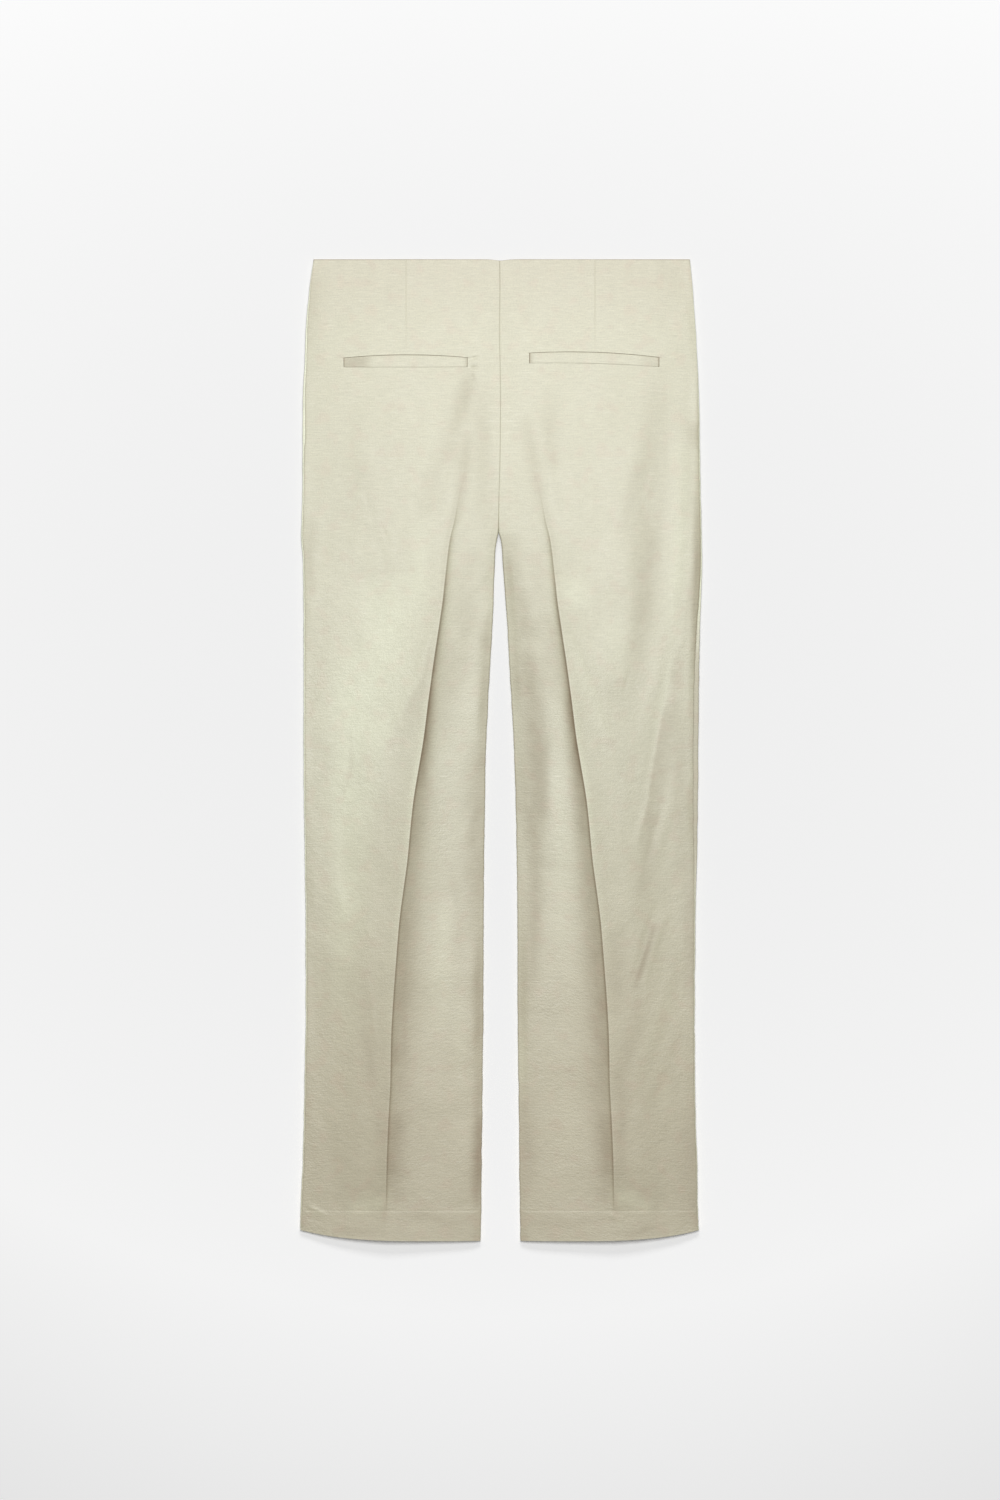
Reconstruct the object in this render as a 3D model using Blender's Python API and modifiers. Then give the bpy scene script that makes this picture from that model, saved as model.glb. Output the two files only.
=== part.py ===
"""Straight-leg trousers with pressed creases and back darts, laid flat with the back up.

The front panels lie on the surface and turn over the outer edge to the side seam. The back panels lie on them,
raised along the pressed creases, and a pocket welt is let into each. Every piece is an open sheet whose thickness
comes from Solidify. Below, `down` is the distance below the waist edge, `out` the distance out from the
centre-back seam and `height` the distance above the surface, all in millimetres.
"""

import math

import bmesh
import bpy
import numpy as np

MM = 0.001

# Cut
LENGTH = 1031.0  # waist edge to the lowest point of the hem
FRONT_RISE = 1.1  # the front's waist edge stands this far above the back's
WAIST_DIP = 1.3  # the waist edge dips this far at the centre-back seam
WAIST_DIP_REACH = 8.0
HEM_LINE = 999.0  # where the turned-up hem is stitched
HEM_LIFT = 11.5  # the hem is this much higher at the side seam
HEM_LIFT_BEND = 4.3  # how late across the leg the hem starts to lift
HEM_FADE = 9.0  # the turned-up layer thins out this far from the seams at its edges
DART_OUT = 99.5
DART_END = 95.5
DART_DEPTH = 0.6
DART_HALF = 2.2

# Cloth and seams
CLOTH = 1.2
HEM_CLOTH = 2.1  # with the turned-up layer
SEAM_GAP = 0.3
EDGE_RADIUS = 1.55  # bend of the cloth at an edge, on its outer face
EDGE_TAIL = 0.4  # straight end of the cloth after that bend
EDGE_HEIGHT = 2 * (EDGE_RADIUS + EDGE_TAIL) + SEAM_GAP
SIDE_DIP = 0.45  # the cloth dips this far at the side seam
SIDE_DIP_REACH = 1.3
ARC_STEPS = 3
TURN_STEPS = 6

# Back pocket welts
WELT_CLOTH = 0.9
WELT_RECESS = 1.0  # the panel is lowered this far under the welt
WELT_LIP = 0.8  # width of the panel's slope above the welt
WELT_FOOT = 0.5  # width of the slope below it
WELT_CLEAR = 0.35  # between the welt and the edge of its recess
WELT_END = 1.0  # width of the slopes at its ends

# Loft near the seams
SIDE_SHOULDER = {"left": 0.9, "right": 1.6}
SIDE_SHOULDER_REACH = 6.0
INNER_SHOULDER = 1.3
INNER_SHOULDER_REACH = 9.0
FOLD_FADE = 12.0  # folds die out this far from a seam

LINEN = (0.70, 0.68, 0.54, 1.0)
LINEN_SHADE = (0.62, 0.59, 0.46, 1.0)

SIDES = {"left": -1, "right": 1}


class Table:
    """Rows with named columns, read by `down` on a curve that never overshoots its rows."""

    def __init__(self, names, *rows):
        self.columns = dict(zip(names.split(), np.array(rows, dtype=float).T))
        self.down = self.columns["down"]
        self.slopes = {name: self.slopes_of(values) for name, values in self.columns.items()}

    def slopes_of(self, values):
        rises = np.diff(values) / np.diff(self.down)
        slopes = np.concatenate((rises[:1], np.zeros(len(rises) - 1), rises[-1:]))
        turns = rises[:-1] * rises[1:]
        keeps = turns > 0
        slopes[1:-1][keeps] = 2 * turns[keeps] / (rises[:-1] + rises[1:])[keeps]
        return slopes

    def read(self, name, down):
        values = self.columns[name]
        slopes = self.slopes[name]
        row = int(np.clip(np.searchsorted(self.down, down) - 1, 0, len(values) - 2))
        step = self.down[row + 1] - self.down[row]
        t = float(np.clip((down - self.down[row]) / step, 0, 1))
        rest = 1 - t
        near = rest * rest * ((1 + 2 * t) * values[row] + t * step * slopes[row])
        far = t * t * ((1 + 2 * rest) * values[row + 1] - rest * step * slopes[row + 1])
        return float(near + far)


# Where the outline and the crease run, out from the centre-back seam.
OUTLINE = Table(
    "down side_left side_right inner_left inner_right crease",
    (0, 196.6, 199.2, 0, 0, 25),
    (27, 200.6, 201.8, 0, 0, 25),
    (75, 204.8, 205.2, 0, 0, 25),
    (148, 207.6, 208.8, 0, 0, 27),
    (206, 208.2, 209.8, 0, 0, 31.5),
    (253, 208.7, 210.8, 0, 0, 43.5),
    (289, 209.6, 211.4, 0, 0, 50.0),
    (291, 209.6, 211.4, 2.2, 0.2, 50.3),
    (296, 209.4, 211.5, 3.9, 1.0, 51.1),
    (312, 208.0, 211.8, 5.2, 2.1, 53.6),
    (358, 207.2, 210.6, 7.4, 5.2, 59.4),
    (442, 207.0, 208.6, 11.8, 10.4, 70.8),
    (526, 207.0, 207.9, 15.6, 14.6, 82.2),
    (610, 206.0, 206.9, 17.0, 16.9, 93.2),
    (694, 204.9, 205.1, 17.8, 17.9, 104.0),
    (778, 204.8, 204.3, 18.0, 18.0, 110.6),
    (862, 206.0, 204.4, 18.8, 18.8, 114.6),
    (946, 207.7, 206.8, 19.8, 19.8, 117.8),
    (999, 210.2, 207.6, 20.4, 20.4, 119.4),
    (1031, 210.6, 209.4, 21.0, 21.0, 120.0),
)

# How the cloth stands: height at the inner edge, crest along the crease, pinch of the pressed crease and how far
# it reaches to each side, how sharp the crest is, bends at the inner edge and width that the front turns over.
FORM = Table(
    "down inner crest pinch reach_in reach_out sharp back_bend front_bend turn",
    (0, 8.4, 8.8, 0, 10, 24, 0, 20, 4, 2.8),
    (100, 10.4, 11.4, 0, 10, 24, 0, 20, 4, 3.0),
    (190, 10.4, 11.6, 0.3, 10, 24, 0, 20, 4, 3.5),
    (253, 8.4, 11.2, 2.0, 9, 24, 0.4, 26, 10, 4.0),
    (280, 6.4, 10.9, 3.4, 8, 26, 0.7, 46, 45, 4.0),
    (291, 4.6, 10.7, 4.0, 8, 26, 0.8, 90, 90, 4.0),
    (330, EDGE_HEIGHT, 10.0, 5.2, 8, 26, 1, 90, 90, 4.1),
    (442, EDGE_HEIGHT, 9.4, 6.4, 9, 28, 1, 90, 90, 4.2),
    (610, EDGE_HEIGHT, 9.2, 6.4, 11, 30, 1, 90, 90, 4.1),
    (694, EDGE_HEIGHT, 9.2, 6.2, 17, 30, 1, 90, 90, 3.9),
    (778, EDGE_HEIGHT, 9.0, 6.0, 26, 30, 1, 90, 90, 3.6),
    (904, EDGE_HEIGHT, 8.8, 5.0, 28, 30, 1, 90, 90, 3.2),
    (985, EDGE_HEIGHT, 9.0, 4.4, 20, 28, 0.9, 90, 90, 2.9),
    (1004, EDGE_HEIGHT, 10.4, 1.4, 20, 28, 0.3, 90, 90, 2.8),
    (1031, EDGE_HEIGHT, 11.4, 0.0, 20, 28, 0, 90, 90, 2.8),
)

# The welts' ends, and their edges at the inner end, the middle and the outer end.
WELTS = {
    "left": {"ends": (34.6, 162.7), "top": (103.2, 100.4, 103.4), "bottom": (112.8, 112.8, 112.8)},
    "right": {"ends": (30.3, 167.5), "top": (98.9, 97.8, 102.6), "bottom": (109.2, 111.0, 112.8)},
}

# Soft folds across the panels: from one point to another (out, down), half width, and height or depth.
FOLD_NAMES = "side out_from down_from out_to down_to width height".split()
FOLDS = [
    dict(zip(FOLD_NAMES, row))
    for row in (
        ("left", 26, 118, 47, 235, 9, -1.0),
        ("right", 30, 116, 48, 235, 9, -1.0),
        ("right", 176, 130, 150, 400, 15, -1.6),
        ("right", 184, 210, 182, 520, 10, 0.9),
        ("right", 172, 430, 128, 660, 12, -1.2),
        ("right", 186, 560, 150, 800, 12, -1.0),
        ("right", 46, 360, 30, 560, 12, -1.2),
        ("left", 178, 250, 190, 430, 10, -0.9),
        ("left", 150, 560, 176, 720, 16, -1.1),
        ("left", 30, 958, 27, 994, 8, -1.0),
        ("right", 34, 640, 30, 860, 12, -0.8),
        ("left", 38, 300, 34, 470, 12, 0.8),
    )
]

# Rows of points down the panels. The named ones follow the welt's edges.
WELT_ROWS = ("lip", "top", "bottom", "foot")
ROWS = (
    *(0, 28, 60, 84),
    *WELT_ROWS,
    *(130, 160, 190, 218, 244, 266, 280, 289, 291, 296, 304, 318, 338),
    *range(364, 975, 47),
    *(985, HEM_LINE - 0.8, HEM_LINE + 0.8, 1014, LENGTH),
)

CREASE_STEPS = (16, 7, 2.5)  # distances of the columns inside the crease
SIDE_STEPS = (9, 3.2)  # distances of the columns inside the side seam's dip


def smooth_step(low, high, value):
    t = min(max((value - low) / (high - low), 0), 1)
    return t * t * (3 - 2 * t)


def place(side, out, down, height):
    """The point in the part's frame: X across, Y towards the waist, Z up, in metres."""
    widest = {name: max(OUTLINE.columns[f"side_{name}"]) for name in SIDES}
    shift = (widest["left"] - widest["right"]) / 2
    middle = (LENGTH - FRONT_RISE) / 2
    return ((SIDES[side] * out + shift) * MM, (middle - down) * MM, height * MM)


def inner_edge(side, down):
    return max(OUTLINE.read(f"inner_{side}", down), SEAM_GAP / 2)


def side_seam(side, down):
    return OUTLINE.read(f"side_{side}", down) - FORM.read("turn", down)


def edge_bend(degrees):
    """How the cloth bends at an inner edge: (distance from the edge, drop), from the edge to the flat cloth."""
    angle = math.radians(degrees)
    radius = EDGE_RADIUS * math.pi / 2 / angle
    flat = radius * math.sin(angle) + EDGE_TAIL * math.cos(angle)
    points = [(0.0, radius * (1 - math.cos(angle)) + EDGE_TAIL * math.sin(angle))]
    for step in range(ARC_STEPS):
        turned = angle * (1 - step / ARC_STEPS)
        points.append((flat - radius * math.sin(turned), radius * (1 - math.cos(turned))))
    points.append((flat, 0.0))
    return points


def fold_height(side, out, down):
    """What the soft folds add, from the distance to each fold's line."""
    total = 0.0
    here = np.array((out, down), dtype=float)
    for fold in FOLDS:
        if fold["side"] != side:
            continue
        start = np.array((fold["out_from"], fold["down_from"]), dtype=float)
        run = np.array((fold["out_to"], fold["down_to"]), dtype=float) - start
        along = float(np.clip(np.dot(here - start, run) / np.dot(run, run), 0, 1))
        away = np.linalg.norm(here - start - along * run) / fold["width"]
        total += fold["height"] * math.exp(-away * away)
    return total


def back_top(side, out, down):
    """Height of a back panel's outer face between the bends at its edges."""
    inner = inner_edge(side, down) + edge_bend(FORM.read("back_bend", down))[-1][0]
    seam = side_seam(side, down)
    crease = OUTLINE.read("crease", down)
    legs = smooth_step(270, 330, down)
    if out < crease:
        away = out - inner
        share = away / (crease - inner)
        low = FORM.read("inner", down)
        shoulder = INNER_SHOULDER * legs
        shoulder *= 1 - math.exp(-max(away, 0) / INNER_SHOULDER_REACH)
        reach = FORM.read("reach_in", down)
    else:
        away = seam - out
        share = away / (seam - crease)
        low = EDGE_HEIGHT
        shoulder = SIDE_SHOULDER[side] * (1 - math.exp(-max(away, 0) / SIDE_SHOULDER_REACH))
        reach = FORM.read("reach_out", down)
    share = min(max(share, 0), 1)
    sharp = FORM.read("sharp", down)
    rise = (1 - sharp) * math.sin(share * math.pi / 2) + sharp * share
    pinch = FORM.read("pinch", down) * share * math.exp(-abs(out - crease) / reach)
    folds = fold_height(side, out, down) * smooth_step(0, FOLD_FADE, min(out - inner, seam - out))
    return low + shoulder * (1 - rise) + (FORM.read("crest", down) - low) * rise + pinch + folds


def welt_edge(side, which, out):
    welt = WELTS[side]
    start, end = welt["ends"]
    return float(np.interp(out, (start, (start + end) / 2, end), welt[which]))


def row_down(side, row, out, edge_share):
    """Where a row of points lies at a distance out: level, but for the welt's rows and the lifted hem."""
    down = ROWS[row]
    if down in WELT_ROWS:
        return {
            "lip": welt_edge(side, "top", out) - WELT_LIP,
            "top": welt_edge(side, "top", out),
            "bottom": welt_edge(side, "bottom", out),
            "foot": welt_edge(side, "bottom", out) + WELT_FOOT,
        }[down]
    dip = WAIST_DIP * math.exp(-((out / WAIST_DIP_REACH) ** 2)) * (1 - smooth_step(0, ROWS[1], down))
    lift = HEM_LIFT * edge_share**HEM_LIFT_BEND * smooth_step(HEM_LINE, LENGTH, down)
    return down + dip - lift


def row_base(row):
    """A row's distance down at the middle of the panel."""
    return row_down("left", row, DART_OUT, 0)


def back_columns(side, down):
    """Distances out of a back panel's columns, the indexes of those on the welt, and the dart's index."""
    bend = edge_bend(FORM.read("back_bend", down))
    inner = inner_edge(side, down)
    seam = side_seam(side, down)
    crease = OUTLINE.read("crease", down)
    columns = [inner + across for across, _ in bend]
    flat = columns[-1]
    near = crease - CREASE_STEPS[0]
    columns += [flat + (near - flat) * step / 3 for step in (1, 2)]
    columns += [crease - step for step in CREASE_STEPS]
    columns.append(crease)

    pocket = row_base(ROWS.index("top"))
    pocket_crease = OUTLINE.read("crease", pocket)
    pocket_width = side_seam(side, pocket) - pocket_crease
    width = seam - crease

    def along(out):
        return crease + (out - pocket_crease) / pocket_width * width

    start, end = (along(out) for out in WELTS[side]["ends"])
    dart = along(DART_OUT)
    columns += [start - WELT_END, start]
    first = len(columns) - 1
    columns += [start + (dart - DART_HALF - start) * step / 4 for step in (1, 2, 3)]
    columns += [dart - DART_HALF, dart, dart + DART_HALF]
    dart_index = len(columns) - 2
    columns += [dart + DART_HALF + (end - dart - DART_HALF) * step / 4 for step in (1, 2, 3)]
    columns += [end, end + WELT_END]
    last = len(columns) - 2
    near = seam - SIDE_DIP_REACH - SIDE_STEPS[0]
    columns += [(columns[-1] + near) / 2, near, seam - SIDE_DIP_REACH - SIDE_STEPS[1]]
    columns += [seam - SIDE_DIP_REACH, seam - SEAM_GAP / 2]
    return columns, (first, last), dart_index


def share_across(side, out, down):
    inner = inner_edge(side, down)
    return min(max((out - inner) / (OUTLINE.read(f"side_{side}", down) - inner), 0), 1)


def back_point(side, row, column):
    """A point of a back panel's outer face, by its row from the waist and its column from the inner edge."""
    base = row_base(row)
    outs, _, _ = back_columns(side, base)
    down = row_down(side, row, outs[column], share_across(side, outs[column], base))
    outs, (first, last), dart = back_columns(side, down)
    out = outs[column]
    bend = edge_bend(FORM.read("back_bend", down))
    if column < len(bend):
        return out, down, FORM.read("inner", down) - bend[column][1]
    if column == len(outs) - 1:
        return out, down, EDGE_HEIGHT - SIDE_DIP
    height = back_top(side, out, down)
    if column == dart and down < DART_END:
        height -= DART_DEPTH * math.sqrt(1 - down / DART_END)
    if ROWS[row] in ("top", "bottom") and first <= column <= last:
        height -= WELT_RECESS
    return out, down, height


def front_columns(side, down):
    """(distance out, height) of a front panel's outer face: inner bend, flat cloth, turn over the side, seam."""
    inner = inner_edge(side, down)
    outline = OUTLINE.read(f"side_{side}", down)
    radius = EDGE_HEIGHT / 2
    points = [(inner + across, rise) for across, rise in edge_bend(FORM.read("front_bend", down))]
    flat = points[-1][0]
    turn = outline - radius
    points += [(flat + (turn - flat) * step / 3, 0.0) for step in (1, 2)]
    for step in range(TURN_STEPS + 1):
        angle = math.pi * step / TURN_STEPS
        points.append((turn + radius * math.sin(angle), radius * (1 - math.cos(angle))))
    points.append((side_seam(side, down) + SEAM_GAP / 2, EDGE_HEIGHT - SIDE_DIP))
    return points


def front_point(side, row, column):
    base = row_base(row)
    out = front_columns(side, base)[column][0]
    down = row_down(side, row, out, share_across(side, out, base))
    out, height = front_columns(side, down)[column]
    rise = FRONT_RISE * (1 - smooth_step(0, ROWS[1], down)) if height < CLOTH else 0
    return out, down - rise, height


def sheet(name, columns, rows, point, side, faces_up):
    """An open grid sheet with its outer face outwards. Its columns run along X and its rows along Y."""
    mesh = bmesh.new()
    bmesh.ops.create_grid(mesh, x_segments=columns - 1, y_segments=rows - 1, size=1)
    for vertex in mesh.verts:
        column = round((vertex.co.x + 1) / 2 * (columns - 1))
        row = round((1 - vertex.co.y) / 2 * (rows - 1))
        if side == "left":
            column = columns - 1 - column
        vertex.co = place(side, *point(side, row, column))
    if not faces_up:
        bmesh.ops.reverse_faces(mesh, faces=mesh.faces)
    data = bpy.data.meshes.new(name)
    mesh.to_mesh(data)
    mesh.free()
    data.shade_smooth()
    data.set_sharp_from_angle(angle=math.radians(40))
    return bpy.data.objects.new(name, data)


def give_thickness(piece, thickness, thin=None):
    """Adds the cloth's thickness inside the sheet. `thin` gives a share of it for each point of the sheet."""
    solidify = piece.modifiers.new("cloth", "SOLIDIFY")
    solidify.thickness = thickness * MM
    solidify.offset = -1
    solidify.use_even_offset = True
    solidify.use_quality_normals = True
    if thin:
        group = piece.vertex_groups.new(name="layers")
        for vertex in piece.data.vertices:
            group.add([vertex.index], thin(vertex.co), "REPLACE")
        solidify.vertex_group = group.name


def hem_layers(side):
    """Share of the hem's thickness at a point: one layer above the hem line and near the seams, all of it below."""
    one_layer = CLOTH / HEM_CLOTH

    def share(point):
        x, y, _ = place(side, 0, 0, 0)
        out = abs(point.x - x) / MM
        down = (y - point.y) / MM
        from_seams = min(out - inner_edge(side, down), side_seam(side, down) - out)
        inside = smooth_step(2 * EDGE_RADIUS, HEM_FADE + 2 * EDGE_RADIUS, from_seams)
        below = smooth_step(HEM_LINE - 0.5, HEM_LINE + 0.5, down)
        return one_layer + (1 - one_layer) * inside * below

    return share


def make_back(side):
    columns = len(back_columns(side, 0)[0])
    piece = sheet(f"back_panel_{side}", columns, len(ROWS), back_point, side, True)
    give_thickness(piece, HEM_CLOTH, hem_layers(side))
    return piece


def make_front(side):
    columns = len(front_columns(side, 0))
    piece = sheet(f"front_panel_{side}", columns, len(ROWS), front_point, side, False)
    give_thickness(piece, HEM_CLOTH, hem_layers(side))
    return piece


def make_welt(side):
    """A welt on its back panel's own points, moved out by the seam gap and the welt's thickness."""
    _, (first, last), _ = back_columns(side, DART_END)

    def point(_, row, column):
        upper = np.array(back_point(side, ROWS.index("top"), first + column))
        lower = np.array(back_point(side, ROWS.index("bottom"), first + column))
        inset = WELT_CLEAR / (lower[1] - upper[1])
        out, down, height = upper + (lower - upper) * ((1 - inset) if row else inset)
        if column == 0:
            out += WELT_CLEAR
        if column == last - first:
            out -= WELT_CLEAR
        return out, down, height + SEAM_GAP + WELT_CLOTH

    piece = sheet(f"pocket_welt_{side}", last - first + 1, 2, point, side, True)
    piece.data.shade_flat()
    give_thickness(piece, WELT_CLOTH)
    return piece


def finish(piece, colour, roughness):
    material = bpy.data.materials.new(piece.name)
    material.use_nodes = True
    shader = material.node_tree.nodes["Principled BSDF"]
    shader.inputs["Base Color"].default_value = colour
    shader.inputs["Roughness"].default_value = roughness
    shader.inputs["Metallic"].default_value = 0.0
    piece.data.materials.append(material)


def main():
    for old in list(bpy.data.objects):
        bpy.data.objects.remove(old)
    trousers = bpy.data.collections.new("trousers")
    bpy.context.scene.collection.children.link(trousers)
    for side in SIDES:
        for make, colour in ((make_front, LINEN_SHADE), (make_back, LINEN), (make_welt, LINEN)):
            piece = make(side)
            finish(piece, colour, 0.5)
            trousers.objects.link(piece)


main()
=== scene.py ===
# Straight-leg trousers in satin-faced linen, laid flat with the back up.
# Sizes are in millimetres: down from the waist edge, out from the centre-back seam, up from the surface.

import math

import bpy
import numpy as np
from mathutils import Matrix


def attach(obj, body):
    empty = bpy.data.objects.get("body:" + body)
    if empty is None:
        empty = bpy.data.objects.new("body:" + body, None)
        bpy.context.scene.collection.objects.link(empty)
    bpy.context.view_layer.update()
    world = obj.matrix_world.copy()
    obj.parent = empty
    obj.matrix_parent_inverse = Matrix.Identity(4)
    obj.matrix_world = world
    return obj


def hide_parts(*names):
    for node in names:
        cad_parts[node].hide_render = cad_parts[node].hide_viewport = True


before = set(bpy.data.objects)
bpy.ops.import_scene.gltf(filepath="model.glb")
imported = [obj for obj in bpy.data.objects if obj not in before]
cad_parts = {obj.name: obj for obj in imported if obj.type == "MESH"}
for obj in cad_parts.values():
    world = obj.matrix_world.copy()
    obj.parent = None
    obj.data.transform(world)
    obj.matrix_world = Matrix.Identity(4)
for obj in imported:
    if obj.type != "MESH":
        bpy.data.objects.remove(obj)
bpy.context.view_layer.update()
mm = 0.001
sides = {"left": -1, "right": 1}

cut = {
    "length": 1031.0,
    "frontRise": 1.1,  # the front's waist edge stands above the back's
    "waistDip": 1.3,  # the waist edge dips at the centre-back seam
    "waistDipReach": 8.0,
    "waistFade": 28.0,  # both are gone this far down
    "hemLine": 999.0,
    "hemLift": 11.5,  # the hem is higher at the side seam
    "hemLiftBend": 4.3,
    "dartOut": 99.5,
    "dartEnd": 95.5,
    "seamGap": 0.2,
    "edgeHeight": 4.2,  # where the back meets the front at an edge
}

cloth = {
    "thickness": 0.7,
    "hemThickness": 1.3,  # with the turned-up layer
    "rowStep": 3.22,
    "pressReach": 9.6,  # fine columns lie this near the crease
    "dartReach": 3.0,
    "seamReach": 8.0,
}


class Table:
    # rows with named columns, read by distance down on a curve that never overshoots its rows
    def __init__(self, names, *rows):
        self.columns = dict(zip(names.split(), np.array(rows, dtype=float).T))
        self.down = self.columns["down"]

    def read(self, name, down):
        values = self.columns[name]
        steps = np.diff(self.down)
        rises = np.diff(values) / steps
        slopes = np.concatenate((rises[:1], np.zeros(len(rises) - 1), rises[-1:]))
        turns = rises[:-1] * rises[1:]
        keeps = turns > 0
        slopes[1:-1][keeps] = 2 * turns[keeps] / (rises[:-1] + rises[1:])[keeps]
        row = np.clip(np.searchsorted(self.down, down) - 1, 0, len(steps) - 1)
        t = np.clip((down - self.down[row]) / steps[row], 0, 1)
        rest = 1 - t
        near = rest**2 * ((1 + 2 * t) * values[row] + t * steps[row] * slopes[row])
        far = t**2 * ((1 + 2 * rest) * values[row + 1] - rest * steps[row] * slopes[row + 1])
        return near + far


# where the outline runs, out from the middle, with the drift of the centre-back seam
outline = Table(
    "down side_left side_right inner_left inner_right",
    (0, 196.6, 199.2, 0.95, -0.85),
    (27, 200.6, 201.8, 0.65, -0.55),
    (75, 204.8, 205.2, 0.95, -0.85),
    (110, 206.2, 207.2, 0.55, -0.45),
    (148, 207.6, 208.8, 0.05, 0.05),
    (206, 208.2, 209.8, 0.55, -0.45),
    (253, 208.7, 210.8, 1.75, -1.65),
    (286, 209.5, 211.4, 2.15, -2.05),
    (290, 209.6, 211.4, 2.9, -0.9),
    (296, 209.4, 211.5, 4.1, 0.6),
    (305, 208.7, 211.7, 5.4, 1.6),
    (320, 207.8, 211.8, 6.2, 2.5),
    (358, 207.2, 210.6, 7.4, 5.2),
    (442, 207.0, 208.6, 11.8, 10.4),
    (526, 207.0, 207.9, 15.6, 14.6),
    (610, 206.0, 206.9, 17.0, 16.9),
    (694, 204.9, 205.1, 17.8, 17.9),
    (778, 204.8, 204.3, 18.0, 18.0),
    (862, 206.0, 204.4, 18.8, 18.8),
    (946, 207.7, 206.8, 19.8, 19.8),
    (999, 210.2, 207.6, 20.4, 20.4),
    (1031, 210.6, 209.4, 21.0, 21.0),
)

# the line of the pressed crease
creaseLine = Table(
    "down out",
    (0, 25),
    (75, 25),
    (148, 27),
    (206, 32.5),
    (240, 41.5),
    (258, 45.0),
    (274, 47.8),
    (295, 52.7),
    (337, 57.7),
    (358, 59.9),
    (379, 62.9),
    (421, 69.2),
    (463, 74.9),
    (505, 80.2),
    (526, 83.7),
    (568, 90.6),
    (589, 93.0),
    (631, 97.0),
    (652, 99.8),
    (694, 105.3),
    (736, 108.8),
    (778, 111.9),
    (820, 114.1),
    (862, 114.9),
    (904, 117.0),
    (946, 118.7),
    (999, 119.9),
    (1031, 120.2),
)
creaseShift = 0.5

# how the cloth stands: at the inner edge and along the crease, and how straight it runs between them
form = Table(
    "down inner crest sharp",
    (0, 7.6, 7.8, 0),
    (100, 8.6, 9.2, 0),
    (190, 8.3, 9.4, 0),
    (240, 7.4, 9.4, 0.3),
    (280, 6.2, 9.4, 0.6),
    (310, 5.2, 9.4, 0.8),
    (350, 4.5, 9.3, 1),
    (442, 4.2, 9.2, 1),
    (610, 4.2, 9.2, 1),
    (694, 4.2, 9.2, 1),
    (778, 4.2, 9.0, 1),
    (904, 4.2, 8.8, 1),
    (985, 4.2, 9.1, 0.9),
    (1004, 4.2, 9.4, 0.75),
    (1031, 4.2, 10.0, 0.6),
)

# the pressed crease: a thin lip, a steep nip and a wide fall on its inner side, the reach of its outer side,
# the painted shade on the fall, how far in and how widely, and the painted highlight just outside (painted
# shade where it is below 0)
# most of the shade column came out of a least-squares fit to the photo, a fault
pressed = Table(
    "down lip nip nipReach fall fallReach outReach shade shadeAt shadeReach rim",
    (0, 0, 0, 4, 0, 12, 40, 0, 0, 4, 0),
    (185, 0, 0, 4, 0, 12, 40, 0, 0, 4, 0),
    (218, 0, 0.1, 4, 0.2, 12, 40, 0, 0, 4, 0),
    (253, 0.1, 0.25, 4, 0.5, 12, 40, 0, 0, 4, -0.03),
    (280, 0.3, 0.6, 3.5, 0.8, 12, 40, 0, 0, 4, -0.1),
    (300, 0.55, 1, 3, 1, 12, 44, 0.03, 0, 4, -0.12),
    (330, 0.75, 1.3, 3, 1.3, 13, 48, 0.14, 0, 3, -0.08),
    (358, 0.95, 1.7, 3.2, 1.6, 14, 54, 0.51, 0, 3, -0.04),
    (400, 1.2, 2.4, 3.6, 1.9, 15, 60, 0.52, 0, 3.2, 0.05),
    (441, 1.35, 2.8, 4.2, 2.3, 16, 60, 0.53, 0, 4, 0.12),
    (470, 1.35, 2.9, 4.8, 2.6, 17, 60, 0.92, 0, 7, 0.2),
    (505, 1.35, 3, 5.6, 3.1, 18, 60, 0.96, 0, 7.5, 0.3),
    (536, 1.3, 3.1, 6.6, 3.6, 19, 62, 0.77, 0, 10, 0.4),
    (568, 1.1, 3.2, 7.6, 4.2, 20, 64, 0.61, 1, 13, 0.4),
    (600, 1.1, 3.2, 8, 4.4, 21, 66, 0.5, 3, 13, 0.32),
    (630, 1.1, 3.1, 8, 4.5, 22, 70, 0.29, 5, 13, 0.2),
    (694, 1.1, 2.9, 8, 4.6, 24, 74, 0.41, 7, 14, 0.17),
    (756, 1.1, 2.7, 7.4, 4.5, 26, 74, 0.44, 8, 15, 0.03),
    (835, 1.1, 2.3, 6.4, 3.8, 26, 72, 0.4, 5, 17, 0.06),
    (860, 1.1, 2, 6, 3.4, 26, 70, 0.28, 7, 17, 0),
    (885, 1, 1.8, 5, 3.2, 24, 66, 0.21, 9, 16, -0.03),
    (905, 1, 2.1, 6, 3.1, 22, 62, 0.4, 7, 14, 0),
    (950, 1, 2.1, 6, 2.5, 22, 56, 0.43, 6, 12, -0.05),
    (967, 0.95, 1.7, 5, 1.8, 20, 52, 0.2, 7, 13, -0.03),
    (981, 0.75, 1.2, 4.5, 1.1, 20, 50, 0.18, 8, 14, 0),
    (991, 0.45, 0.7, 4, 0.6, 20, 46, 0.05, 8, 14, 0),
    (1000, 0.1, 0.15, 4, 0.3, 20, 46, 0, 8, 14, 0),
    (1012, 0, 0, 4, 0.1, 20, 46, 0, 8, 14, 0),
    (1031, 0, 0, 4, 0, 20, 46, 0, 8, 14, 0),
)

# bends at the inner edges
edges = Table(
    "down backRadius backAngle frontAngle",
    (0, 0.26, 36, 4),
    (24, 0.26, 25, 4),
    (120, 0.26, 20, 4),
    (253, 0.26, 24, 10),
    (278, 0.6, 82, 30),
    (290, 1.55, 90, 90),
    (1031, 1.55, 90, 90),
)
edgeTail = 0.4  # straight end of the cloth after its bend
bendShares = np.array((1, 1, 0.8, 0.6, 0.4, 0.2))
bendTails = np.array((1, 0, 0, 0, 0, 0))
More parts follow.
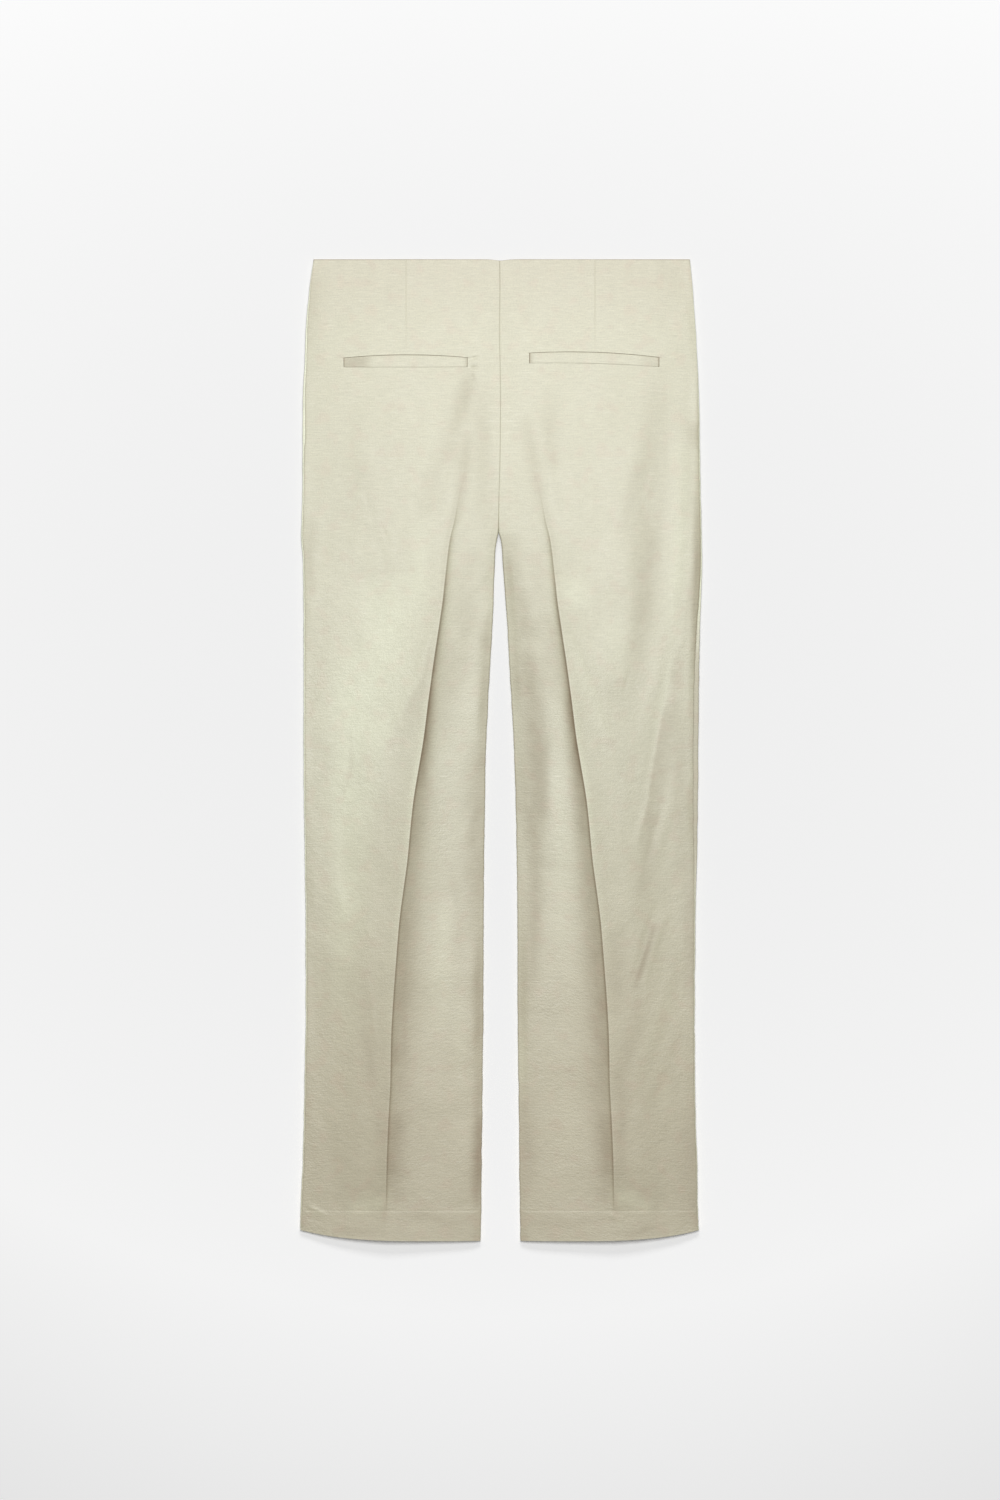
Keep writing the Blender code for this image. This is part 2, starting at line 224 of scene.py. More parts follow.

# the side seams: how far inside the edge they lie, how deep the cloth dips at them and from how far, and on
# the front's turned edge a painted highlight where below 0, painted shade where above 0
seams = Table(
    "down turn_left turn_right dip_left dip_right reach_left reach_right tone_left tone_right",
    (0, 0.8, 0.8, 0, 0, 2, 2, -0.9, -0.9),
    (50, 1.6, 0.8, 0.05, 0, 2, 2, -0.9, -0.9),
    (110, 2.2, 0.9, 0.1, 0, 2, 3, -0.9, -0.9),
    (150, 2.4, 1.2, 0.15, 0.2, 2, 4, -0.9, -0.9),
    (186, 3.0, 1.3, 0.2, 0.6, 2, 5, -0.9, -0.9),
    (200, 1.8, 1.3, 0.2, 0.5, 2, 5, -0.9, -0.9),
    (250, 1.6, 1.3, 0.1, 0.8, 3, 7, -0.9, -0.9),
    (285, 1.6, 1.3, 0.2, 1.2, 4, 8, -0.9, -0.9),
    (316, 1.6, 1.6, 0.2, 1.5, 4, 8, -0.9, -0.9),
    (347, 1.6, 2.1, 0.2, 1.6, 4, 8, -0.9, -0.8),
    (389, 1.6, 3.6, 0.2, 1.4, 4, 8, -0.9, -0.2),
    (430, 1.5, 4.8, 0.15, 1.1, 4, 8, -0.9, 0.3),
    (473, 1.5, 5.3, 0.1, 0.7, 4, 8, -0.9, 0.35),
    (520, 1.5, 5.3, 0.1, 0.6, 3, 7, -0.9, 0.35),
    (600, 1.5, 4.4, 0.1, 0.5, 3, 6, -0.9, 0.35),
    (640, 1.5, 2.8, 0.1, 0.3, 3, 5, -0.9, 0.1),
    (690, 1.5, 1.4, 0.1, 0.2, 3, 4, -0.9, -0.6),
    (1031, 1.5, 1.2, 0.1, 0.1, 3, 3, -0.9, -0.8),
)
turnWidth = 0.6  # how far the front bulges past its flat top
sideShoulder = {"left": (0.1, 9.0), "right": (0.5, 9.0)}  # height and reach of the roundness at the sides
innerShoulder = {"left": (1.0, 7.0), "right": (1.4, 9.0)}

welts = {
    "left": {"ends": (34.6, 164.8), "top": (103.0, 100.0, 103.1), "bottom": (112.8, 113.0, 112.8)},
    "right": {"ends": (30.1, 166.8), "top": (98.2, 97.3, 102.6), "bottom": (108.9, 109.2, 112.5)},
}
pocket = {
    "top": 101.0,  # the rows that follow the welt's edges
    "bottom": 112.0,
    "above": 78.0,  # the rows are level again here
    "below": 136.0,
    "settled": 3.0,  # the columns stand along its ends from this far above and below it
    "fade": 16.0,
    "recess": 1.1,
    "slope": 0.08,  # width of the recess's walls
    "lip": 0.16,  # the cloth stands up along the slit
}


def smoothStep(low, high, value):
    t = np.clip((value - low) / (high - low), 0, 1)
    return t * t * (3 - 2 * t)


def bell(distance, width):
    return np.exp(-((distance / width) ** 2))


def blend(first, second, share):
    return first + (second - first) * share


def place(side, out, down, height):
    widest = {name: max(outline.columns[f"side_{name}"]) for name in sides}
    shift = (widest["left"] - widest["right"]) / 2
    middle = (cut["length"] - cut["frontRise"]) / 2
    return np.stack((sides[side] * out + shift, middle - down, height), axis=-1) * mm


ripples = {13: 0.3, 5: 0.2}  # length and depth of the waves in the legs' edges


def rippled(side, down, seed):
    # the edges of the legs run a little uneven
    down = np.asarray(down, dtype=float)
    across = down * 0 + 9 * sides[side]
    waves = [ripples[size] * unevenness(across, down, size, seed + step) for step, size in enumerate(ripples)]
    return sum(waves) * smoothStep(20, 60, down)


def innerEdge(side, down):
    return outline.read(f"inner_{side}", down) + rippled(side, down, 61) * smoothStep(300, 330, down)


def outerEdge(side, down):
    return outline.read(f"side_{side}", down) + rippled(side, down, 63)


def sideSeam(side, down):
    return outerEdge(side, down) - seams.read(f"turn_{side}", down)


def fromSeams(side, out, down):
    # the distance to the nearer of the leg's two edges
    return np.minimum(out - innerEdge(side, down), sideSeam(side, down) - out)


def fromEnds(side, out):
    # the distance inwards from the nearer end of the pocket
    start, end = welts[side]["ends"]
    return np.minimum(out - start, end - out)


def creaseOf(side, down):
    return creaseLine.read("out", down) - sides[side] * creaseShift


def dartLine(side, down):
    # the dart's column, which drifts to the middle of the outer half below the pocket
    crease = creaseOf(side, down)
    middle = crease + 0.46 * (sideSeam(side, down) - crease)
    return blend(cut["dartOut"], middle, smoothStep(cut["dartEnd"], 320, down))


def bendOf(radius, angle, share, tail):
    # across and drop of a bend's points, from the edge to the flat cloth
    angle = np.radians(angle)
    flat = radius * np.sin(angle) + edgeTail * np.cos(angle)
    across = flat - radius * np.sin(angle * share) - tail * edgeTail * np.cos(angle)
    drop = radius * (1 - np.cos(angle * share)) + tail * edgeTail * np.sin(angle)
    return across, drop, flat


def unevenness(across, along, size, seed):
    # soft lumps of about that size, from -1 to 1
    lattice = np.random.RandomState(seed).uniform(-1, 1, (96, 160))
    x = across / size + 30
    y = along / size + 8
    column = np.floor(x).astype(int)
    row = np.floor(y).astype(int)
    tx = smoothStep(0, 1, x - column)
    ty = smoothStep(0, 1, y - row)
    column %= lattice.shape[0] - 1
    row %= lattice.shape[1] - 1
    upper = blend(lattice[column, row], lattice[column + 1, row], tx)
    lower = blend(lattice[column, row + 1], lattice[column + 1, row + 1], tx)
    return blend(upper, lower, ty)


strokeNames = "from_out from_down by_out by_down to_out to_down inner outer amount".split()


def strokesOf(left=(), right=(), both=()):
    # curved strokes with their widths on each side, for each leg and for both
    rows = {"left": left + both, "right": right + both}
    return {side: [dict(zip(strokeNames, row)) for row in rows[side]] for side in sides}


# folds (and troughs, if the amount is below 0) that stand in the cloth, in millimetres of height
folds = strokesOf(
    left=(
        # under the pockets, towards the crease
        (44, 150, 54, 190, 72, 240, 7, 12, 0.5),
        (33, 118, 38, 145, 48, 175, 5, 6, -0.5),
        (33, 168, 43, 202, 56, 236, 3, 4, 0.25),
        # outer left leg
        (140, 150, 146, 210, 138, 300, 16, 14, 0.4),
        (175, 434, 188, 455, 200, 477, 2.4, 2.4, 0.14),
        (182, 452, 195, 472, 204, 494, 2.4, 2.4, 0.14),
        (178, 649, 170, 670, 160, 697, 4, 4, 0.08),
        (162, 560, 166, 610, 158, 680, 9, 9, -0.3),
        (140, 746, 134, 790, 129, 838, 3, 4, 0.16),
        (178, 250, 188, 340, 190, 430, 9, 9, -0.3),
        (196, 880, 180, 930, 176, 980, 9, 9, -0.3),
        # inner halves
        (11, 322, 26, 340, 42, 355, 5, 5, 0.2),
        (26, 400, 25, 460, 27, 530, 9, 8, 0.5),
        (18, 568, 26, 582, 37, 600, 2.2, 2.2, 0.14),
        (16, 600, 24, 612, 32, 622, 2.2, 2.2, -0.14),
        (34, 905, 35, 950, 35, 990, 13, 20, 0.8),
        (34, 740, 36, 790, 36, 850, 13, 24, 0.7),
        (50, 670, 52, 760, 46, 860, 15, 15, 0.3),
        # soft lines in the seat
        (120, 330, 128, 300, 140, 280, 6, 6, -0.15),
        (150, 330, 140, 360, 145, 390, 8, 8, -0.15),
        (186, 20, 196, 45, 200, 70, 7, 7, -0.2),
    ),
    right=(
        # under the pockets, towards the crease
        (27, 128, 32, 150, 34, 166, 5, 5, -0.3),
        (55, 186, 60, 212, 64, 236, 4, 5, -0.25),
        # outer right thigh
        (146, 130, 136, 250, 130, 350, 26, 16, 1.1),
        (132, 290, 132, 380, 118, 460, 24, 14, 0.9),
        (187, 165, 186, 290, 176, 400, 10, 8, 0.6),
        (172, 395, 161, 450, 147, 507, 7, 7, 0.35),
        (176, 440, 164, 500, 150, 560, 5, 6, -0.25),
        (190, 500, 176, 580, 160, 640, 6, 6, 0.3),
        (160, 548, 151, 590, 141, 625, 4, 4, 0.3),
        (172, 560, 161, 605, 149, 640, 4, 4, -0.35),
        (168, 672, 152, 715, 139, 757, 4, 5, -0.35),
        (178, 680, 162, 722, 150, 765, 4, 4, 0.3),
        (186, 720, 168, 790, 142, 860, 8, 8, 0.35),
        (192, 790, 168, 850, 140, 910, 6, 6, 0.22),
        # inner halves
        (20, 300, 30, 380, 42, 450, 15, 22, 1.2),
        (40, 400, 48, 520, 50, 640, 20, 26, 1.9),
        (52, 530, 52, 670, 46, 790, 20, 26, 1.2),
        (44, 690, 39, 800, 36, 920, 15, 26, 0.9),
        (40, 540, 32, 570, 24, 612, 2.4, 3, -0.2),
        (36, 558, 28, 590, 22, 632, 2.2, 2.6, 0.2),
        # soft lines in the seat
        (26, 90, 44, 56, 64, 30, 7, 7, 0.15),
        (150, 30, 176, 22, 196, 16, 7, 7, -0.2),
    ),
    both=(
        # under the pockets, towards the crease
        (40, 195, 50, 222, 60, 262, 4, 7, 0.3),
        # branches of the creases
        (67, 380, 86, 428, 116, 506, 9, 4, 0.22),
        (104, 470, 110, 490, 120, 512, 3, 3, 0.12),
    ),
)

# small puckers beside seams and stitches, in millimetres of height
puckers = strokesOf(
    left=(
        # hems
        (206, 994, 196, 997, 181, 1004, 2, 2.4, 0.4),
        (204, 1006, 194, 1009, 184, 1012, 3, 3, -0.3),
        # puckers at the ends of the welts
        (33, 104, 28, 103, 22, 101, 1.3, 1.1, -0.42),
        (33, 108.5, 28, 108, 23, 107, 2.2, 2.2, 0.38),
        (33, 113.6, 28, 113.4, 22, 113, 1.2, 1.5, -0.5),
        (164, 99, 167, 95, 169, 89, 1.3, 1.3, -0.16),
        # crumpled cloth over the left hip and under the right one
        (146, 238, 141, 249, 139, 262, 1.5, 1.5, -0.2),
        (152, 246, 146, 252, 140, 255, 1.4, 1.4, 0.18),
        (138, 262, 134, 270, 132, 279, 1.5, 1.5, -0.16),
        (128, 276, 121, 289, 119, 299, 1.6, 1.6, -0.16),
        (124, 282, 117, 286, 112, 294, 1.4, 1.4, 0.14),
        (112, 196, 105, 205, 100, 216, 1.8, 1.8, 0.14),
        (160, 166, 154, 160, 150, 152, 1.6, 1.6, 0.12),
    ),
    right=(
        # hems
        (112, 1004, 122, 1006, 131, 1012, 1.8, 2.2, 0.42),
        # puckers at the ends of the welts
        (169, 100, 182, 103, 196, 107, 1.7, 1.7, 0.15),
        (169, 105, 180, 108, 192, 112, 1.6, 1.6, -0.15),
        (170, 97, 178, 93, 186, 88, 1.7, 1.7, 0.14),
        (27, 96, 22, 92, 16, 90, 1.5, 1.5, 0.14),
        # crumpled cloth over the left hip and under the right one
        (128, 262, 123, 274, 121, 288, 1.6, 1.6, 0.14),
        (163, 210, 157, 236, 152, 262, 2.2, 2.2, 0.16),
        (156, 246, 152, 258, 149, 270, 1.6, 1.6, -0.16),
        (140, 424, 133, 440, 130, 456, 2, 2, -0.2),
        (133, 444, 141, 449, 150, 462, 1.8, 1.8, -0.18),
    ),
    both=(
        # crumpled cloth over the left hip and under the right one
        (40, 206, 45, 222, 47, 240, 1.4, 1.4, 0.16),
        (46, 214, 50, 232, 54, 250, 1.4, 1.4, -0.14),
    ),
)

# painted shade where the satin turns away from the light (a painted highlight, if the amount is below 0)
# placed one by one, but most amounts came out of a least-squares fit to the photo
shades = strokesOf(
    left=(
        # seat and thigh
        (33, 108, 40, 150, 58, 210, 8, 9, 0.2),
        (36, 180, 40, 225, 48, 285, 6, 7, 0.22),
        (24, 120, 20, 190, 18, 290, 12, 12, 0.12),
        (84, 265, 86, 325, 84, 385, 12, 12, -0.25),
        (52, 190, 68, 228, 84, 275, 9, 10, 0.09),
        (62, 150, 78, 200, 92, 245, 6, 6, -0.06),
        (150, 200, 138, 240, 126, 300, 12, 12, 0.07),
        (118, 330, 120, 400, 135, 530, 30, 34, -0.58),
        (160, 400, 160, 560, 160, 740, 22, 22, -0.63),
        (199, 265, 199, 310, 197, 355, 6, 8, 0.18),
        (196, 360, 197, 430, 196, 485, 6, 8, 0.05),
        (66, 385, 91.5, 455, 128, 530, 18, 1.8, 0.23),
        (160, 500, 158, 530, 164, 560, 3, 3, 0.39),
        # inner leg
        (22, 305, 36, 345, 46, 400, 14, 12, 0.12),
        (14, 390, 16, 460, 18, 550, 7, 8, 0.31),
        (55, 395, 60, 450, 62, 510, 12, 8, 0.14),
        (112, 470, 119, 540, 114, 660, 14, 8, 0.04),
        (20, 500, 24, 600, 24, 720, 12, 14, 0.39),
        (30, 360, 40, 420, 50, 470, 12, 12, 0.15),
        (22, 700, 23, 780, 23, 840, 6, 7, 0.38),
        (20, 895, 22, 950, 24, 1000, 4, 7, 0.75),
        (54, 660, 60, 740, 58, 820, 12, 14, -0.33),
        # shin
        (152, 765, 136, 812, 118, 866, 12, 6, 0.12),
        (118, 860, 124, 900, 120, 960, 8, 10, 0.17),
        # more of both legs
        (44, 765, 42, 820, 40, 885, 8, 8, -0.22),
        (21, 835, 23, 880, 23, 930, 5, 6, 0.28),
        (50, 630, 48, 690, 44, 745, 7, 7, 0.16),
        (158, 640, 166, 730, 158, 830, 16, 16, -0.27),
        (196, 15, 202, 55, 204, 95, 10, 5, 0.18),
        (116, 470, 130, 530, 136, 600, 14, 16, -0.29),
        (146, 800, 138, 835, 132, 870, 5, 8, 0.27),
        (12, 370, 14, 392, 17, 414, 5, 7, 0.29),
        (24, 570, 34, 590, 42, 612, 5, 6, -0.08),
        (70, 880, 82, 930, 84, 985, 14, 14, 0.02),
        (180, 900, 186, 950, 184, 1000, 14, 14, 0.02),
        (33, 115, 33, 111, 33, 107, 0.9, 0.9, -0.35),
        (32, 117, 29, 121, 27, 126, 1.5, 2.5, 0.19),
        (205, 998, 196, 1001, 184, 1007, 2.5, 3, -0.35),
    ),
    right=(
        # seat and thigh
        (26, 165, 36, 210, 46, 280, 9, 6, 0.16),
        (54, 135, 52, 180, 57, 225, 9, 9, 0.12),
        (168, 105, 160, 195, 152, 310, 12, 12, 0.1),
        (172, 130, 172, 215, 165, 310, 5, 3.5, 0.05),
        (148, 205, 136, 255, 127, 310, 7, 9, 0.13),
        (158, 260, 150, 350, 136, 455, 12, 13, 0.19),
        (163, 285, 160, 330, 152, 395, 8, 6, 0.09),
        (190, 180, 189, 290, 177, 405, 7, 8, -0.35),
        (203, 290, 199, 350, 190, 415, 3, 4, 0.12),
        (124, 370, 122, 405, 116, 440, 16, 14, -0.2),
        (74, 330, 78, 350, 84, 372, 14, 14, -0.37),
        (104, 440, 126, 460, 146, 496, 14, 16, 0.05),
        (182, 405, 173, 460, 161, 524, 7, 1.4, -0.29),
        (184, 405, 188, 430, 190, 455, 7, 7, 0.12),
        (160, 580, 154, 630, 142, 680, 6, 10, 0.22),
        (163, 698, 151.5, 730, 138, 768, 2.8, 5, 0.55),
        (184, 765, 168, 802, 148, 840, 6, 6, -0.19),
        (150, 765, 138, 812, 124, 865, 9, 9, 0.21),
        (177, 858, 174, 872, 171, 888, 7, 7, -0.16),
        (203, 620, 202, 700, 203, 790, 9, 4, 0.32),
        (205, 880, 201, 950, 204, 1015, 14, 5, 0.24),
        (118, 700, 120, 750, 118, 800, 12, 14, 0.21),
        # inner leg
        (4, 285, 12, 335, 20, 400, 9, 15, 0.24),
        (14, 330, 24, 400, 30, 480, 12, 14, -0.02),
        (40, 370, 58, 420, 66, 470, 18, 14, 0.23),
        (26, 410, 36, 500, 36, 620, 16, 13, 0.46),
        (24, 500, 30, 610, 29, 730, 9, 12, 0.09),
        (25, 640, 26, 730, 23, 830, 5, 9, 0.1),
        (56, 510, 64, 620, 66, 750, 9, 12, -0.23),
        (22, 790, 23, 835, 22, 890, 5, 6, -0.39),
        (22, 870, 27, 930, 24, 1000, 6, 12, 0.22),
        (110, 980, 135, 984, 160, 990, 9, 9, -0.06),
        (206, 250, 205, 340, 202, 440, 4, 5, 0.44),
        (201, 430, 199, 520, 199, 640, 5, 5, 0.08),
        (72, 388, 94, 440, 118, 500, 16, 1.6, -0.16),
        # more of both legs
        (173, 458, 163, 525, 150, 602, 1.6, 18, 0.33),
        (208, 165, 206, 180, 207, 200, 10, 4, 0.24),
        (122, 850, 126, 900, 124, 975, 6, 8, 0.24),
        (34, 590, 37, 680, 32, 775, 7, 8, 0.29),
        (44, 495, 47, 545, 46, 595, 7, 7, 0.24),
        (36, 300, 42, 345, 52, 400, 10, 8, 0.11),
        (13, 382, 17, 420, 17, 465, 6, 6, 0.15),
        (180, 425, 183, 455, 176, 495, 5, 8, 0.16),
        (192, 470, 190, 560, 192, 660, 8, 8, 0.17),
        (22, 340, 27, 400, 30, 460, 9, 10, 0.18),
        (14, 530, 16, 556, 18, 580, 3, 4, 0.26),
        (70, 860, 72, 930, 66, 990, 16, 16, -0.09),
        (118, 1003, 124, 1008, 130, 1014, 2.5, 2.5, -0.29),
    ),
    both=(
        # more of both legs
        (112, 984, 135, 989, 164, 993, 9, 9, -0.59),
        (25, 1006, 70, 1008, 115, 1006, 5, 5, 0.17),
        (128, 1022, 150, 1020, 175, 1016, 5, 5, 0.18),
        # both creases
        (44, 205, 54, 235, 62, 270, 5, 7, 0.02),
    ),
)

crinkles = {
    "count": 60,  # short strokes beside each seam
    "length": (6, 16),
    "width": (1.1, 2.1),
    "height": (0.04, 0.13),
    "reach": 26.0,
    "first": 250.0,
    "seed": 11,
}


def crinklesOf(side):
    random = np.random.RandomState(crinkles["seed"] + sides[side])
    strokes = []
    for number in range(crinkles["count"]):
        down = random.uniform(crinkles["first"], cut["hemLine"] - 20)
        away = random.uniform(2, crinkles["reach"]) * random.uniform(0.2, 1)
        bySide = number % 3 > 0
        out = sideSeam(side, down) - away if bySide else innerEdge(side, down) + away + 2
        angle = math.radians(random.uniform(15, 70)) * (1 if bySide else -1)
        length = random.uniform(*crinkles["length"])
        run = np.array((math.cos(angle), -math.sin(angle))) * length / 2
        bow = random.uniform(-0.2, 0.2) * length
        width = random.uniform(*crinkles["width"])
        height = random.uniform(*crinkles["height"]) * random.choice((-1, 1))
        ends = (out - run[0], down - run[1], out, down + bow, out + run[0], down + run[1])
        strokes.append(dict(zip(strokeNames, (*ends, width, width, height))))
    return strokes


curveSteps = 9


def strokeSum(strokes, out, down):
    # what all the strokes add at each point, from the distance to each stroke's curve
    total = np.zeros(np.broadcast(out, down).shape)
    out, down = (np.broadcast_to(values, total.shape) for values in (out, down))
    t = np.linspace(0, 1, curveSteps + 1)[:, None]
    for stroke in strokes:
        start, by, end = (
            np.array((stroke[f"{part}_out"], stroke[f"{part}_down"])) for part in ("from", "by", "to")
        )
        curve = (1 - t) ** 2 * start + 2 * t * (1 - t) * (2 * by - (start + end) / 2) + t**2 * end
        margin = 2.6 * max(stroke["inner"], stroke["outer"])
        low, high = curve.min(0) - margin, curve.max(0) + margin
        near = (out > low[0]) & (out < high[0]) & (down > low[1]) & (down < high[1])
        if not near.any():
            continue
        here = np.stack((out[near], down[near]), axis=-1)
        best = np.full(len(here), 1e9)
        value = np.zeros(len(here))
        for step in range(curveSteps):
            run = curve[step + 1] - curve[step]
            offset = here - curve[step]
            along = np.clip(offset @ run / (run @ run), 0, 1)
            gap = offset - along[:, None] * run
            distance = np.hypot(gap[:, 0], gap[:, 1])
            width = np.where(gap[:, 0] < 0, stroke["inner"], stroke["outer"])
            share = (step + along) / curveSteps
            taper = np.clip(4 * share * (1 - share), 0, 1) ** 0.7
            closer = distance < best
            best = np.where(closer, distance, best)
            value = np.where(closer, taper * bell(distance, width), value)
        total[near] += stroke["amount"] * value
    return total


def loosened(side, out, down):
    # the places of soft strokes wander a little, so that no fold runs evenly
    across = out * sides[side]
    aside = 1.4 * unevenness(across, down, 40, 31) + 0.5 * unevenness(across, down, 12, 32)
    return out + aside, down + 5.0 * unevenness(across, down, 26, 33)


denseSteps = np.array((0.4, 0.8, 1.2, 1.7, 2.3, 3.1, 4.2, 5.6, 7.4, 9.6)) / cloth["pressReach"]
dartSteps = np.array((1, 1.8, 2.3, 2.6, 2.8, 3, 3.2, 3.4, 3.7, 4.2, 5, 6)) / (2 * cloth["dartReach"])
seamSteps = np.array((2.0, 3.4, 4.6, 5.6, 6.4, 7.0, 7.5, 8)) / cloth["seamReach"]
backZones = (  # shares of the columns between two knots, from the inner edge to the side seam
    np.linspace(0, 1, 31),
    [1 - share for share in denseSteps[-2::-1]] + [1],
    denseSteps,
    np.linspace(0, 1, 27)[1:],
    dartSteps,
    np.linspace(0, 1, 36)[1:],
    seamSteps,
)
backShares = [(zone, share) for zone, shares in enumerate(backZones) for share in shares]
backCount = len(bendShares) + len(backShares)


def padded(*rows):
    # a bend's values for every column, with zeros past the bend
    return [np.concatenate((row, np.zeros(backCount - len(row)))) for row in rows]


def flatStart(side, down):
    # where the back panel is flat again after the bend at its inner edge
    radius, angle = edges.read("backRadius", down), edges.read("backAngle", down)
    return innerEdge(side, down) + bendOf(radius, angle, 0, 0)[2]


def backOut(side, down):
    # where each column of a back panel lies, for rows of distances down
    radius, angle = edges.read("backRadius", down), edges.read("backAngle", down)
    across = bendOf(radius, angle, *padded(bendShares, bendTails))[0]
    crease = creaseOf(side, down)
    dart = dartLine(side, down)
    seam = sideSeam(side, down)
    knots = (
        flatStart(side, down),
        crease - cloth["pressReach"],
        crease,
        crease + cloth["pressReach"],
        dart - cloth["dartReach"],
        dart + cloth["dartReach"],
        seam - cloth["seamReach"],
        seam - cut["seamGap"] / 2,
    )
    zone, share = np.array(backShares).T
    zone = zone.astype(int)
    wide = np.stack([np.broadcast_to(knot, (len(down), backCount)) for knot in knots])
    columns = np.arange(len(bendShares), backCount)
    out = np.empty((len(down), backCount))
    out[:, : len(bendShares)] = (innerEdge(side, down) + across)[:, : len(bendShares)]
    low, high = wide[zone, :, columns].T, wide[zone + 1, :, columns].T
    out[:, columns] = low + (high - low) * share
    # the columns beside the pocket's ends stand close along them
    row = int(np.argmin(np.abs(rows - pocket["top"])))
    near = smoothStep(pocket["above"], pocket["top"] - pocket["settled"], down)
    near = near * smoothStep(pocket["below"], pocket["bottom"] + pocket["settled"], down)
    near = np.broadcast_to(near, out.shape)
    start, end = welts[side]["ends"]
    for edge, spots in ((start, (start - pocket["slope"], start)), (end, (end, end + pocket["slope"]))):
        following = int(np.sum(out[row] < edge))
        for column, spot in zip((following - 1, following), spots):
            out[:, column] = blend(out[:, column], spot, near[:, column])
    return out


def refine(rows, centre, *offsets):
    # swaps the rows near a line for closer ones
    fine = [centre + offset for offset in offsets]
    kept = [row for row in rows if not fine[0] - 0.6 < row < fine[-1] + 0.6]
    return sorted(kept + fine)


rows = list(np.arange(0, cut["length"], cloth["rowStep"]))
rows = refine(rows, 0, 0, 0.5, 1.2, 2.2)
rows = refine(rows, pocket["top"], -2.2, -1.2, -0.6, -0.14, 0, 0.3, 0.9, 1.8)
rows = refine(rows, pocket["bottom"], -1.8, -0.9, -0.3, 0, 0.08, 0.5, 1.2, 2.2)
rows = refine(rows, 296, -10, -8, -6, -4, -2, 0, 3, 6, 10)
rows = refine(rows, cut["hemLine"], -3, -1.8, -1, -0.5, 0, 0.5, 1, 1.8, 3)
rows = refine(rows, cut["length"], -3, -1.6, -0.7, 0)
rows = np.array(rows)


def weltEdge(side, which, out):
    # a shallow curve through the edge's ends and middle, which fades to the level rows
    start, end = welts[side]["ends"]
    first, middle, last = welts[side][which]
    t = np.clip((out - start) / (end - start), 0, 1)
    edge = first * (1 - t) * (1 - 2 * t) + 4 * middle * t * (1 - t) + last * t * (2 * t - 1)
    return blend(edge, pocket[which], smoothStep(0, pocket["fade"], -fromEnds(side, out)))


def rowDown(side, base, out, share):
    # rows are level, but they follow the welt's edges, the dip of the waist and the lifted hem
    knots = (pocket["above"], pocket["top"], pocket["bottom"], pocket["below"])
    top = weltEdge(side, "top", out) - pocket["top"]
    bottom = weltEdge(side, "bottom", out) - pocket["bottom"]
    shifted = top * np.interp(base, knots, (0, 1, 0, 0)) + bottom * np.interp(base, knots, (0, 0, 1, 0))
    dip = cut["waistDip"] * bell(out, cut["waistDipReach"]) * (1 - smoothStep(0, cut["waistFade"], base))
    lift = cut["hemLift"] * share ** cut["hemLiftBend"] * smoothStep(cut["hemLine"], cut["length"], base)
    return base + shifted + dip - lift


def shareAcross(side, out, down):
    inner = innerEdge(side, down)
    return np.clip((out - inner) / (outerEdge(side, down) - inner), 0, 1)


def pressRelief(side, out, down, share):
    # the crease stands up: it rises slowly from outside and falls steeply inwards
    away = out - creaseOf(side, down)
    lip, nip, fall = (pressed.read(name, down) for name in ("lip", "nip", "fall"))
    inwards = np.maximum(-away, 0)
    outwards = np.maximum(away - 1.4, 0)
    inner = lip * np.exp(-inwards / 0.8) + nip * np.exp(-inwards / pressed.read("nipReach", down))
    inner += fall * np.exp(-((inwards / pressed.read("fallReach", down)) ** 1.25))
    outer = (lip + nip + fall) * np.exp(-outwards / pressed.read("outReach", down))
    return np.where(away < 0, inner, outer) * share


def backLevel(side, out, down):
    # the back panel's outer face between its edges, without its pocket
    inner, seam, crease = flatStart(side, down), sideSeam(side, down), creaseOf(side, down)
    inside = out < crease
    away = np.where(inside, out - inner, seam - out)
    share = np.clip(away / np.where(inside, crease - inner, seam - crease), 0, 1)
    low = np.where(inside, form.read("inner", down), cut["edgeHeight"])
    legs = smoothStep(240, 360, down)
    reach = np.where(inside, innerShoulder[side][1], sideShoulder[side][1])
    shoulder = np.where(inside, innerShoulder[side][0] * legs, sideShoulder[side][0])
    shoulder = shoulder * (1 - np.exp(-np.maximum(away, 0) / reach))
    rise = blend(np.sin(share * math.pi / 2), share, form.read("sharp", down))
    level = low + shoulder * (1 - rise) + (form.read("crest", down) - low) * rise
    level += pressRelief(side, out, down, smoothStep(0, 1, share * 1.4))
    across = out * sides[side]
    uneven = 0.6 * unevenness(across, down, 74, 3) + 0.2 * unevenness(across, down * 0.8, 27, 4)
    uneven += 0.06 * unevenness(across, down, 11, 5)
    uneven *= 0.4 + 0.6 * smoothStep(-10, 20, down)
    inland = smoothStep(0, 9, np.minimum(out - inner, seam - out))
    uneven += strokeSum(folds[side], *loosened(side, out, down))
    return level + inland * (strokeSum(puckers[side] + crinklesOf(side), out, down) + uneven)


def welting(side, out, down):
    # 1 inside the pocket's opening, falling to 0 over its walls
    top, bottom = weltEdge(side, "top", out), weltEdge(side, "bottom", out)
    inside = np.minimum(fromEnds(side, out), np.minimum(down - top, bottom - down))
    return smoothStep(-pocket["slope"], 0, inside)


def dartGroove(out, down):
    away = np.abs(out - cut["dartOut"])
    stays = 1 - 0.7 * smoothStep(cut["dartEnd"] * 0.55, cut["dartEnd"], down)
    puckers = 1 + 0.5 * np.sin(down * 0.83) * np.sin(down * 0.31)
    groove = 0.12 * bell(away, 0.4) * puckers - 0.06 * bell(away, 5)
    return np.where(down < cut["dartEnd"], groove * stays, 0)


